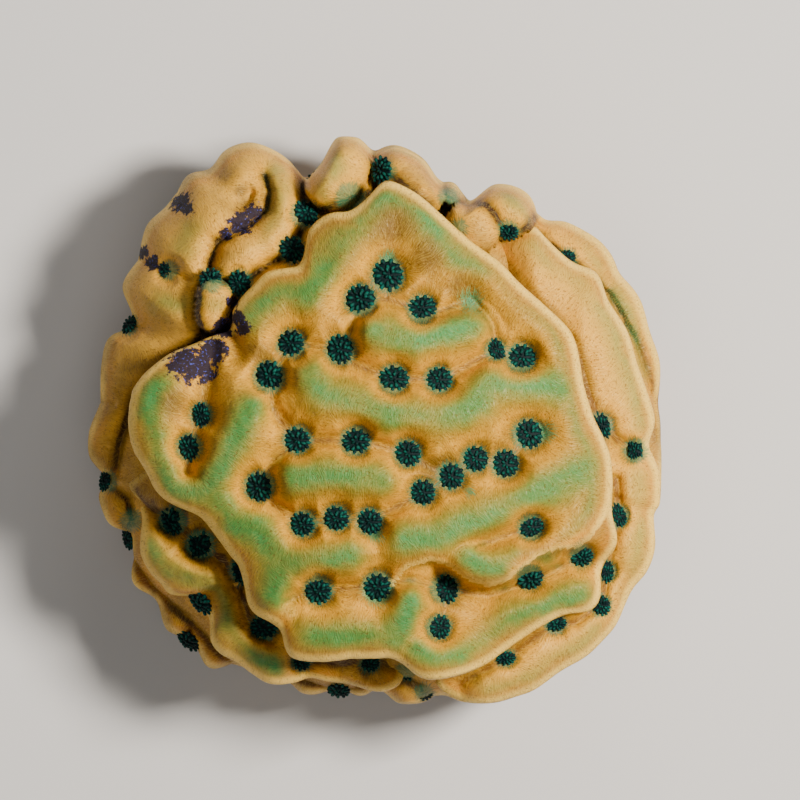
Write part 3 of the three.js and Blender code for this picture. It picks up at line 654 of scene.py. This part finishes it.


# What the tissue's colours follow: crests, grooves, walls, rims, polyp surrounds, blooms, algae, and the hollows
# where shade is painted
def markings(points, piece, rim):
    places = points[:, :2]
    crest = nearestOf(places, piece["crests"])
    crest = np.minimum(crest, nearestOf(places, piece.get("faintCrests", [])) + 2.0)
    groove = nearestOf(places, piece["grooves"])
    near = polypGaps(places, piece)
    _, heading = rim.polar(places)
    inward = rim.inward(places)
    spots = {"algae": algae}
    for label in ("bloom", "dusk", "meadow"):
        spots[label] = piece.get(label, [])
    for label, patches in spots.items():
        best = np.full(len(places), -9.0)
        for at, reach in patches:
            best = np.maximum(best, 1.0 - distanceFrom(places, at) / (reach * step))
        spots[label] = best
    fromFloor = np.maximum(np.minimum(groove, near), 0.0)
    wall = fromFloor / (fromFloor + np.minimum(crest, 6.0) + 0.3)
    # On the mound the dark floor colour fills its creases and, low on the flank, the recesses between ledges:
    # painted shade
    if piece is mound:
        wall = np.minimum(np.minimum(groove + 0.15, np.maximum(near, 0.0) + 0.8) / 4.2, 0.75)
        low = 1.0 - smooth(points[:, 2], 13.0, 19.0)
        flankGap = flankGaps(heading, points[:, 2])
        near = mix(near, flankGap - 1.8, low)
        crest = crest + 6.0 * low
        inward = mix(inward, 8.0, low)
        wall = mix(wall, np.clip(0.5 + 0.2 * flankRelief(heading, points[:, 2]), 0.0, 0.8), low)
        spots["algae"] = spots["algae"] - 9.0 * low
    # On the crown the rim distance also follows the lip, so the painted rim highlight runs along the lip's edge
    if piece is crown:
        distance, side, _ = nearestOnPath(places, lipPath)
        inward = np.minimum(inward, np.where(side < 0, distance + 0.3, 20.0))
    return {"crest": crest, "wall": wall, "polypGap": near, "rimGap": inward, **spots}


# The outermost part is drawn in a little, so that nothing passes the model's own box
def keepInside(points):
    low, high = [np.array(corner[:]) / mm for corner in cadBox]
    kept = points.copy()
    for axis, margin in ((0, 0.9), (1, 0.9), (2, 0.3)):
        above = kept[:, axis] - (high[axis] - margin)
        kept[:, axis] -= np.where(above > 0, above - margin * np.tanh(above / margin), 0.0)
        if axis < 2:
            below = low[axis] + margin - kept[:, axis]
            kept[:, axis] += np.where(below > 0, below - margin * np.tanh(below / margin), 0.0)
    return kept


def writeLayer(mesh, label, kind, values):
    layer = mesh.attributes.new(label, kind, "POINT")
    field = "value" if kind == "FLOAT" else "vector"
    layer.data.foreach_set(field, np.array(values, dtype=np.float32).ravel())


def placeObject(name, data):
    placed = bpy.data.objects.new(name, data)
    bpy.context.scene.collection.objects.link(placed)
    return placed


def meshPiece(name, points, faces, piece, rim):
    mesh = bpy.data.meshes.new(name)
    mesh.vertices.add(len(points))
    mesh.vertices.foreach_set("co", (keepInside(points) * mm).ravel())
    mesh.loops.add(faces.size)
    mesh.loops.foreach_set("vertex_index", faces.ravel().astype(np.int32))
    mesh.polygons.add(len(faces))
    mesh.polygons.foreach_set("loop_start", np.arange(0, faces.size, 3, dtype=np.int32))
    mesh.update(calc_edges=True)
    mesh.shade_smooth()
    for label, values in markings(points, piece, rim).items():
        writeLayer(mesh, label, "FLOAT", np.clip(values, -20, 20))
    doubled = grainOf(points[:, :2], piece, rim)
    writeLayer(mesh, "grain", "FLOAT_VECTOR", np.column_stack([doubled, np.zeros(len(doubled))]))
    return placeObject(name, mesh)


print("pressing the plates")
ballPoints, ballFaces = ballMesh(7)
crownPoints = pressPlate(crownRim, crownTop, crownUnder, crown, ballPoints)
crownPiece = meshPiece("crown_plate_tissue", crownPoints, ballFaces, crown, crownRim)
bodies = [(crownPiece, crown, "crown_plate", "crown")]
for side, piece, rim in (("left", leftPlate, leftRim), ("right", rightPlate, rightRim)):
    points = pressPlate(rim, lowerPlateTop(piece, rim, piece["dive"]), lowUnder, lowPlates, ballPoints)
    tissue = meshPiece(side + "_plate_tissue", points, ballFaces, piece, rim)
    bodies.append((tissue, piece, side + "_plate", side))
moundPoints, moundFaces = pressMound(720, 120)
moundPiece = meshPiece("mound_tissue", moundPoints, moundFaces, mound, colonyRim)
bodies.append((moundPiece, mound, "mound", "mound"))


print("mixing the tissue")


def socketOf(group, name, kind, isInput, value=None):
    socket = group.interface.new_socket(name=name, in_out="INPUT" if isInput else "OUTPUT", socket_type=kind)
    if value is not None:
        socket.default_value = value
    return socket


# Short calls for adding and joining nodes
class Tree:

    def __init__(self, tree):
        self.tree = tree

    def add(self, kind, given=None, **values):
        node = self.tree.nodes.new(kind)
        for key, value in values.items():
            setattr(node, key, value)
        return self.fill(node, given or {})

    def fill(self, node, given):
        for key, value in given.items():
            self.feed(node.inputs[key], value)
        return node

    def join(self, source, target):
        self.tree.links.new(source, target)

    def feed(self, socket, value):
        if isinstance(value, bpy.types.NodeSocket):
            self.join(value, socket)
        else:
            socket.default_value = value

    def math(self, operation, first, second=0.0, third=0.0):
        given = dict(enumerate((first, second, third)))
        return self.add("ShaderNodeMath", given, operation=operation).outputs[0]

    def times(self, first, second):
        return self.math("MULTIPLY", first, second)

    def plus(self, first, second):
        return self.math("ADD", first, second)

    # The value times a factor and then moved
    def line(self, value, factor, offset):
        return self.math("MULTIPLY_ADD", value, factor, offset)

    def range(self, value, low, high, newLow=0.0, newHigh=1.0):
        given = dict(enumerate((value, low, high, newLow, newHigh)))
        return self.add("ShaderNodeMapRange", given, interpolation_type="SMOOTHSTEP").outputs[0]

    def blend(self, share, first, second):
        return self.add("ShaderNodeMix", {0: share, 6: first, 7: second}, data_type="RGBA").outputs[2]

    def vector(self, operation, given):
        return self.add("ShaderNodeVectorMath", given, operation=operation).outputs[0]

    def noise(self, place, scale, detail=2.0, rough=0.5):
        given = {"Vector": place, "Scale": scale, "Detail": detail, "Roughness": rough}
        return self.add("ShaderNodeTexNoise", given).outputs["Fac"]

    def bump(self, strength, distance, height):
        given = {"Strength": strength, "Distance": distance, "Height": height}
        return self.add("ShaderNodeBump", given).outputs[0]

    def field(self, name, output="Fac"):
        return self.add("ShaderNodeAttribute", attribute_name=name).outputs[output]


# The fine ribs, in metres, and the shares of a rib's length at which its noise is read
ribLook = {
    "pitch": 0.00021,
    "length": 0.00055,
    "swayScale": 420.0,
    "sway": 1.2,
    "shifts": (-0.5, -0.34, -0.17, 0.0, 0.17, 0.34, 0.5),
    "range": (0.41, 0.57),
}


# Fine ribs that run across the ridges, from noise averaged along the grain
def ribGroup():
    group = bpy.data.node_groups.new("fineRibs", "ShaderNodeTree")
    socketOf(group, "Pitch", "NodeSocketFloat", True, ribLook["pitch"])
    socketOf(group, "Length", "NodeSocketFloat", True, ribLook["length"])
    socketOf(group, "Ribs", "NodeSocketFloat", False)
    tree = Tree(group)
    given = tree.add("NodeGroupInput").outputs
    grain = tree.add("ShaderNodeSeparateXYZ", {0: tree.field("grain", "Vector")}).outputs
    place = tree.add("ShaderNodeTexCoord").outputs["Object"]
    sway = tree.line(tree.noise(place, ribLook["swayScale"], 2.0), 2 * ribLook["sway"], -ribLook["sway"])
    angle = tree.plus(tree.times(tree.math("ARCTAN2", grain[1], grain[0]), 0.5), sway)
    turned = {0: tree.times(tree.math("SINE", angle), -1.0), 1: tree.math("COSINE", angle)}
    across = tree.add("ShaderNodeCombineXYZ", turned).outputs[0]
    normal = tree.add("ShaderNodeNewGeometry").outputs["Normal"]
    down = tree.vector("NORMALIZE", {0: tree.vector("CROSS_PRODUCT", {0: across, 1: normal})})
    scale = tree.math("DIVIDE", 1.5, given["Pitch"])
    total = None
    for shift in ribLook["shifts"]:
        reach = tree.times(given["Length"], shift)
        moved = tree.vector("ADD", {0: place, 1: tree.vector("SCALE", {0: down, "Scale": reach})})
        noise = tree.noise(moved, scale, 1.0)
        total = noise if total is None else tree.plus(total, noise)
    ribs = tree.range(tree.times(total, 1.0 / len(ribLook["shifts"])), *ribLook["range"])
    tree.add("NodeGroupOutput", {"Ribs": ribs})
    return group


fineRibs = ribGroup()

tissueColours = {
    "tan": (0.42, 0.21, 0.006, 1),
    "cream": (1.0, 0.66, 0.11, 1),
    "shoulder": (0.68, 0.32, 0.012, 1),
    "olive": (0.30, 0.19, 0.012, 1),
    "paintedShade": (0.13, 0.066, 0.003, 1),
    "orange": (0.56, 0.19, 0.005, 1),
    "amber": (0.40, 0.19, 0.004, 1),
    "peach": (0.92, 0.47, 0.055, 1),
    "green": (0.06, 0.19, 0.03, 1),
    "mint": (0.02, 0.26, 0.07, 1),
    "teal": (0.01, 0.20, 0.10, 1),
    "bloom": (0.0, 0.24, 0.11, 1),
    "brown": (0.16, 0.055, 0.003, 1),
    "algae": (0.02, 0.011, 0.018, 1),
    "speck": (0.05, 0.06, 0.30, 1),
}


def tissueMaterial(name, piece):
    look = tissueColours
    own = piece["tissue"]
    spread = own["floorSpread"]
    material = bpy.data.materials.new(name)
    material.use_nodes = True
    tree = Tree(material.node_tree)
    shader = material.node_tree.nodes["Principled BSDF"]
    place = tree.add("ShaderNodeTexCoord").outputs["Object"]
    ribs = tree.add("ShaderNodeGroup", node_tree=fineRibs).outputs["Ribs"]
    broad = tree.noise(place, 160.0, 3.0)
    medium = tree.noise(place, 620.0, 3.0)
    fine = tree.noise(place, 2600.0, 2.0)
    crest = tree.field("crest")
    gap = tree.field("polypGap")
    rim = tree.field("rimGap")
    patch = tree.field("algae")
    bloom = tree.field("bloom")
    uneven = tree.line(broad, 4.4, -2.2)
    # Brown valley floors, darkened as painted shade in the creases, orange walls with cream shoulders, and tan to
    # olive towards the crests
    wall = tree.field("wall")
    ramp = tree.add("ShaderNodeValToRGB")
    tree.join(tree.plus(wall, tree.line(medium, 0.24, -0.12 - spread)), ramp.inputs[0])
    stops = ramp.color_ramp.elements
    for position, key in ((0.0, "brown"), (0.09, "amber"), (0.24, "shoulder"), (0.5, "tan"), (0.8, "olive")):
        stop = stops[0] if position == 0.0 else stops.new(position)
        stop.color = own["floor"] if key == "brown" else look[key]
    stops.remove(stops[-1])
    pale = tree.times(tree.range(wall, 0.1 + spread, 0.5 + spread), own["peach"])
    colour = tree.blend(pale, ramp.outputs[0], look["peach"])
    # Green along the crests
    greenEdge = tree.plus(crest, tree.line(medium, 1.6, -0.8))
    green = tree.range(tree.plus(greenEdge, tree.times(uneven, 0.8)), own["greenReach"], 0.0)
    meadow = tree.plus(tree.field("meadow"), tree.times(uneven, 0.25))
    green = tree.math("MAXIMUM", green, tree.times(tree.range(meadow, -0.1, 0.8), 0.85))
    patchy = tree.range(tree.noise(place, 95.0, 3.0), 0.34, 0.6, 0.5, 1.0)
    green = tree.times(green, tree.times(patchy, own["green"]))
    green = tree.times(green, tree.range(gap, 0.3, 2.4, 0.1, 1.0))
    colour = tree.blend(green, colour, look["green"])
    core = tree.times(tree.range(greenEdge, 2.4, -0.4), own["green"])
    core = tree.times(core, tree.range(broad, 0.42, 0.62))
    colour = tree.blend(tree.times(core, 0.55), colour, look["mint"])
    # Orange towards the edge of a plate, then a cream band at the edge itself as a painted highlight
    rimWarmth = tree.range(tree.plus(rim, uneven), 2.8, 0.2)
    colour = tree.blend(tree.times(rimWarmth, 0.6), colour, look["orange"])
    rimHighlight = tree.range(tree.math("ABSOLUTE", tree.math("SUBTRACT", rim, 0.4)), 1.1, 0.0)
    colour = tree.blend(tree.times(rimHighlight, 0.85), colour, look["cream"])
    # Painted shade: broad olive-brown darkening in the wide hollows away from the crests, and in the listed hollows
    paintedShade = tree.times(tree.range(crest, 3.5, 7.5), tree.range(broad, 0.35, 0.6))
    colour = tree.blend(tree.times(paintedShade, 0.5), colour, look["paintedShade"])
    hollowShadeReach = tree.plus(tree.field("dusk"), tree.times(uneven, 0.2))
    dusk = tree.range(hollowShadeReach, 0.0, 0.8)
    colour = tree.blend(tree.times(dusk, 0.8), colour, look["paintedShade"])
    # A teal surround close to each polyp
    halo = tree.range(tree.plus(gap, tree.line(ribs, 0.8, -0.4)), 0.55, 0.0)
    colour = tree.blend(tree.times(halo, 0.6), colour, look["teal"])
    blooming = tree.plus(bloom, tree.line(ribs, 0.9, -0.5))
    bloomShare = tree.times(tree.range(blooming, 0.0, 0.75), 0.85)
    colour = tree.blend(bloomShare, colour, look["bloom"])
    # Cream rib tops and darker lines between them
    calm = tree.line(green, -0.7, 1.0)
    light = tree.times(tree.times(tree.range(ribs, 0.5, 1.0), 0.14), calm)
    colour = tree.blend(light, colour, look["cream"])
    dark = tree.times(tree.times(tree.range(ribs, 0.4, 0.0), 0.2), calm)
    colour = tree.blend(dark, colour, look["brown"])
    pores = tree.range(tree.noise(place, 3000.0, 2.0, 0.6), 0.58, 0.68)
    colour = tree.blend(tree.times(pores, 0.5), colour, look["brown"])
    # Algae with blue specks where tissue has gone
    edge = tree.plus(patch, tree.line(tree.noise(place, 900.0, 5.0, 0.7), 2.4, -1.2))
    bare = tree.range(edge, 0.12, 0.32)
    speck = tree.range(fine, 0.60, 0.70)
    algaeColour = tree.blend(speck, look["algae"], look["speck"])
    colour = tree.blend(bare, colour, algaeColour)
    height = tree.plus(tree.plus(ribs, tree.times(medium, 6.0)), tree.times(pores, -1.2))
    tree.fill(shader, {
        "Base Color": colour,
        "Roughness": tree.plus(tree.line(ribs, -0.14, 0.62), tree.times(bare, 0.2)),
        "Subsurface Weight": 0.04,
        "Subsurface Radius": (0.0012, 0.0006, 0.0003),
        "Subsurface Scale": 1.0,
        "Specular IOR Level": 0.3,
        "Normal": tree.bump(1.0, 0.00004, height),
    })
    return material


for tissue, piece, node, slot in bodies:
    tissue.data.materials.append(tissueMaterial(slot + "Tissue", piece))


print("growing the polyps")

polypLook = {
    "rings": [(13, 0.41, 0.14, 0.1, 0.05), (9, 0.27, 0.12, 0.09, 0.09), (5, 0.12, 0.09, 0.075, 0.1)],
    "turnSeed": 4,
    "spin": 0.4,
    "dark": (0.0, 0.008, 0.009, 1),
    "bright": (0.0, 0.10, 0.072, 1),
}


# One polyp of unit width: rings of rounded lobes round a mouth
def rosetteMesh():
    rosette = bmesh.new()
    tipLayer = rosette.verts.layers.float.new("tip")

    def lobe(angle, middle, half, width, lift, lean):
        made = bmesh.ops.create_uvsphere(rosette, u_segments=7, v_segments=5, radius=1.0)
        for vertex in made["verts"]:
            x, y, z = vertex.co
            along = middle + half * x
            sideways = width * (0.72 + 0.28 * x) * y
            vertex[tipLayer] = 0.35 + 0.35 * z + 0.3 * x
            vertex.co = Vector((along * math.cos(angle) - sideways * math.sin(angle),
                                along * math.sin(angle) + sideways * math.cos(angle),
                                lift + 0.07 * z + lean * x))
    for count, middle, half, width, lift in polypLook["rings"]:
        for index in range(count):
            wobble = math.sin(7.3 * index + 11.0 * middle)
            angle = 2 * math.pi * (index + 0.5 * middle + 0.2 * wobble) / count
            lobe(angle, middle + 0.04 * wobble, half, width, lift, 0.02 * wobble)
    base = bmesh.ops.create_uvsphere(rosette, u_segments=16, v_segments=6, radius=1.0)
    for vertex in base["verts"]:
        vertex.co = Vector((0.46 * vertex.co.x, 0.46 * vertex.co.y, 0.04 + 0.05 * vertex.co.z))
    mesh = bpy.data.meshes.new("polypRosette")
    rosette.to_mesh(mesh)
    rosette.free()
    return mesh


# How polyps sit: the surface round a seat that counts, how far they turn up, and the steepest seat,
# from which they move inwards step by step
seating = {"reach": 1.1, "upright": 0.25, "steepest": 0.5, "inward": 0.985, "tries": 8, "flankWidth": 3.6}


# Where each polyp sits: the nearest surface point seen from above, its normal and its widths
def polypSeats(pieceObject, piece, pullUp):
    mesh = pieceObject.data
    count = len(mesh.vertices)
    points, normals = np.zeros(count * 3), np.zeros(count * 3)
    mesh.vertices.foreach_get("co", points)
    mesh.vertices.foreach_get("normal", normals)
    points, normals = points.reshape(-1, 3) / mm, normals.reshape(-1, 3)
    facing = normals[:, 2] > 0.02
    seats = []
    for polyp in piece["polyps"]:
        at = toPlaces([polyp])[0]
        for _ in range(seating["tries"]):
            gap = np.hypot(points[:, 0] - at[0], points[:, 1] - at[1])
            gap = np.where(facing, gap, 1e9)
            near = gap < max(seating["reach"], gap.min() + 0.4)
            place = points[near].mean(0)
            normal = normals[near].mean(0) + np.array([0, 0, seating["upright"]])
            normal = normal / np.linalg.norm(normal)
            if normal[2] > seating["steepest"]:
                break
            at = at * seating["inward"]
        place[:2] = at
        wide, long = polyp[2] * step, polyp[3] * step
        if normal[2] < 0.8:
            wide = long = max(wide, long)
        seats.append((place + normal * pullUp, normal, wide, long))
    if piece is mound:
        turns = np.arctan2(points[:, 1], points[:, 0])
        outside = lengths(points) > 22.0
        for heading, level in flankSeats():
            turn = halfTurned(turns - heading)
            gap = np.where(outside, np.hypot(turn * mound["flankReach"], points[:, 2] - level), 1e9)
            near = gap < gap.min() + 0.7
            normal = normals[near].mean(0)
            normal = normal / np.linalg.norm(normal)
            seats.append((points[near].mean(0), normal, seating["flankWidth"], seating["flankWidth"]))
    return seats


# Rosettes on the seats, turned to the surface and sized by their own widths
def scatterGroup(rosetteObject, material):
    group = bpy.data.node_groups.new("polypScatter", "GeometryNodeTree")
    socketOf(group, "Geometry", "NodeSocketGeometry", True)
    socketOf(group, "Rosette", "NodeSocketObject", True)
    socketOf(group, "Seed", "NodeSocketInt", True, 4)
    socketOf(group, "Geometry", "NodeSocketGeometry", False)
    tree = Tree(group)
    given = tree.add("NodeGroupInput").outputs
    info = tree.add("GeometryNodeObjectInfo", {"Object": given["Rosette"]}, transform_space="ORIGINAL")
    points = tree.add("GeometryNodeMeshToPoints", {"Mesh": given["Geometry"]})
    read = {"data_type": "FLOAT_VECTOR"}
    normal = tree.add("GeometryNodeInputNamedAttribute", {"Name": "seatNormal"}, **read)
    size = tree.add("GeometryNodeInputNamedAttribute", {"Name": "seatSize"}, **read)
    spin = tree.add("FunctionNodeRandomValue", {2: 0.0, 3: polypLook["spin"], "Seed": given["Seed"]},
                    data_type="FLOAT")
    spun = tree.add("ShaderNodeCombineXYZ", {2: spin.outputs[1]})
    align = tree.add("FunctionNodeAlignRotationToVector", {"Vector": normal.outputs[0]}, axis="Z")
    copies = tree.add("GeometryNodeInstanceOnPoints", {
        "Points": points.outputs[0],
        "Instance": info.outputs["Geometry"],
        "Rotation": align.outputs[0],
        "Scale": size.outputs[0],
    })
    turned = tree.add("GeometryNodeRotateInstances", {
        "Local Space": True,
        "Instances": copies.outputs[0],
        "Rotation": spun.outputs[0],
    })
    real = tree.add("GeometryNodeRealizeInstances", {0: turned.outputs[0]})
    finish = tree.add("GeometryNodeSetMaterial", {"Material": material, "Geometry": real.outputs[0]})
    tree.add("NodeGroupOutput", {0: finish.outputs[0]})
    return group


def polypMaterial():
    material = bpy.data.materials.new("polypTissue")
    material.use_nodes = True
    tree = Tree(material.node_tree)
    shader = material.node_tree.nodes["Principled BSDF"]
    place = tree.add("ShaderNodeTexCoord").outputs["Object"]
    tip = tree.field("tip")
    mottle = tree.noise(place, 1500.0, 3.0)
    share = tree.times(tree.range(tip, 0.15, 1.0), tree.range(mottle, 0.35, 0.65))
    colour = tree.blend(share, polypLook["dark"], polypLook["bright"])
    height = tree.noise(place, 5200.0, 2.0)
    tree.fill(shader, {
        "Base Color": colour,
        "Roughness": tree.line(mottle, 0.2, 0.5),
        "Specular IOR Level": 0.12,
        "Normal": tree.bump(0.6, 0.0001, height),
    })
    return material


def growPolyps(name, pieceObject, piece, material, pullUp):
    seats = polypSeats(pieceObject, piece, pullUp)
    mesh = bpy.data.meshes.new(name + "Seats")
    mesh.from_pydata([Vector(seat[0]) * mm for seat in seats], [], [])
    writeLayer(mesh, "seatNormal", "FLOAT_VECTOR", [seat[1] for seat in seats])
    sizes = [(seat[2] * mm, seat[3] * mm, 0.5 * (seat[2] + seat[3]) * mm) for seat in seats]
    writeLayer(mesh, "seatSize", "FLOAT_VECTOR", sizes)
    seatObject = placeObject(name + "Seats", mesh)
    rosette = placeObject(name + "Rosette", rosetteMesh())
    group = scatterGroup(rosette, material)
    modifier = seatObject.modifiers.new("scatter", "NODES")
    modifier.node_group = group
    names = {item.name: item.identifier for item in group.interface.items_tree if item.in_out == "INPUT"}
    modifier[names["Rosette"]] = rosette
    modifier[names["Seed"]] = polypLook["turnSeed"]
    depsgraph = bpy.context.evaluated_depsgraph_get()
    made = bpy.data.meshes.new_from_object(seatObject.evaluated_get(depsgraph))
    made.name = name
    grown = np.zeros(len(made.vertices) * 3)
    made.vertices.foreach_get("co", grown)
    made.vertices.foreach_set("co", (keepInside(grown.reshape(-1, 3) / mm) * mm).ravel())
    polyps = placeObject(name, made)
    made.shade_smooth()
    bpy.data.objects.remove(seatObject)
    bpy.data.objects.remove(rosette)
    return polyps


polypTissue = polypMaterial()
pairs = []
for tissue, piece, node, slot in bodies:
    polyps = growPolyps(slot + "_polyps", tissue, piece, polypTissue, piece["polypLift"])
    pairs.append((tissue, polyps, node, slot + "_tissue"))

print("setting the floor, lights and camera")

floorMaterial = bpy.data.materials.new("paleFloor")
floorMaterial.use_nodes = True
floorLook = {"Base Color": (0.62, 0.61, 0.6, 1), "Roughness": 0.9}
Tree(floorMaterial.node_tree).fill(floorMaterial.node_tree.nodes["Principled BSDF"], floorLook)
floorMesh = bpy.data.meshes.new("floor")
floorMesh.from_pydata([(-2, -2, 0), (2, -2, 0), (2, 2, 0), (-2, 2, 0)], [], [(0, 1, 2, 3)])
floorMesh.materials.append(floorMaterial)
placeObject("floor", floorMesh)


def areaLight(name, place, target, size, watts, colour):
    light = bpy.data.lights.new(name, "AREA")
    light.size = size
    light.energy = watts
    light.color = colour
    lamp = placeObject(name, light)
    lamp.location = place
    lamp.rotation_euler = (Vector(target) - Vector(place)).to_track_quat("-Z", "Y").to_euler()


middle = (0, 0, 0.03)
areaLight("keyLight", (0.33, 0.08, 0.52), middle, 0.12, 8.3, (1.0, 0.93, 0.84))
areaLight("fillLight", (-0.1, -0.2, 0.6), middle, 0.4, 0.9, (1.0, 0.97, 0.92))
areaLight("rimLight", (0.1, 0.5, 0.3), middle, 0.3, 0.6, (1.0, 0.98, 0.95))
world = bpy.data.worlds.new("studio")
world.use_nodes = True
Tree(world.node_tree).fill(world.node_tree.nodes["Background"], {0: (0.9, 0.95, 1.0, 1), 1: 0.08})
bpy.context.scene.world = world

view = {"distance": 3000.0, "pictureWidth": 800, "planLevel": 36.0}
cameraData = bpy.data.cameras.new("camera")
cameraData.sensor_fit = "HORIZONTAL"
cameraData.sensor_width = 36.0
cameraData.lens = 36.0 * view["distance"] / (view["pictureWidth"] * step)
cameraData.clip_start = 0.01
camera = placeObject("camera", cameraData)
# The picture's middle lies right of and in front of the colony's middle
aside = ((view["pictureWidth"] / 2 - colony["planMiddle"][0]) * step,
         (colony["planMiddle"][1] - view["pictureWidth"] / 2) * step)
cameraData.shift_x = aside[0] / (view["pictureWidth"] * step)
cameraData.shift_y = aside[1] / (view["pictureWidth"] * step)
camera.location = (0, 0, (view["planLevel"] + view["distance"]) * mm)
bpy.context.scene.camera = camera

for tissue, polyps, node, slot in pairs:
    for thing in (tissue, polyps):
        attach(thing, "root")
        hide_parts(node)
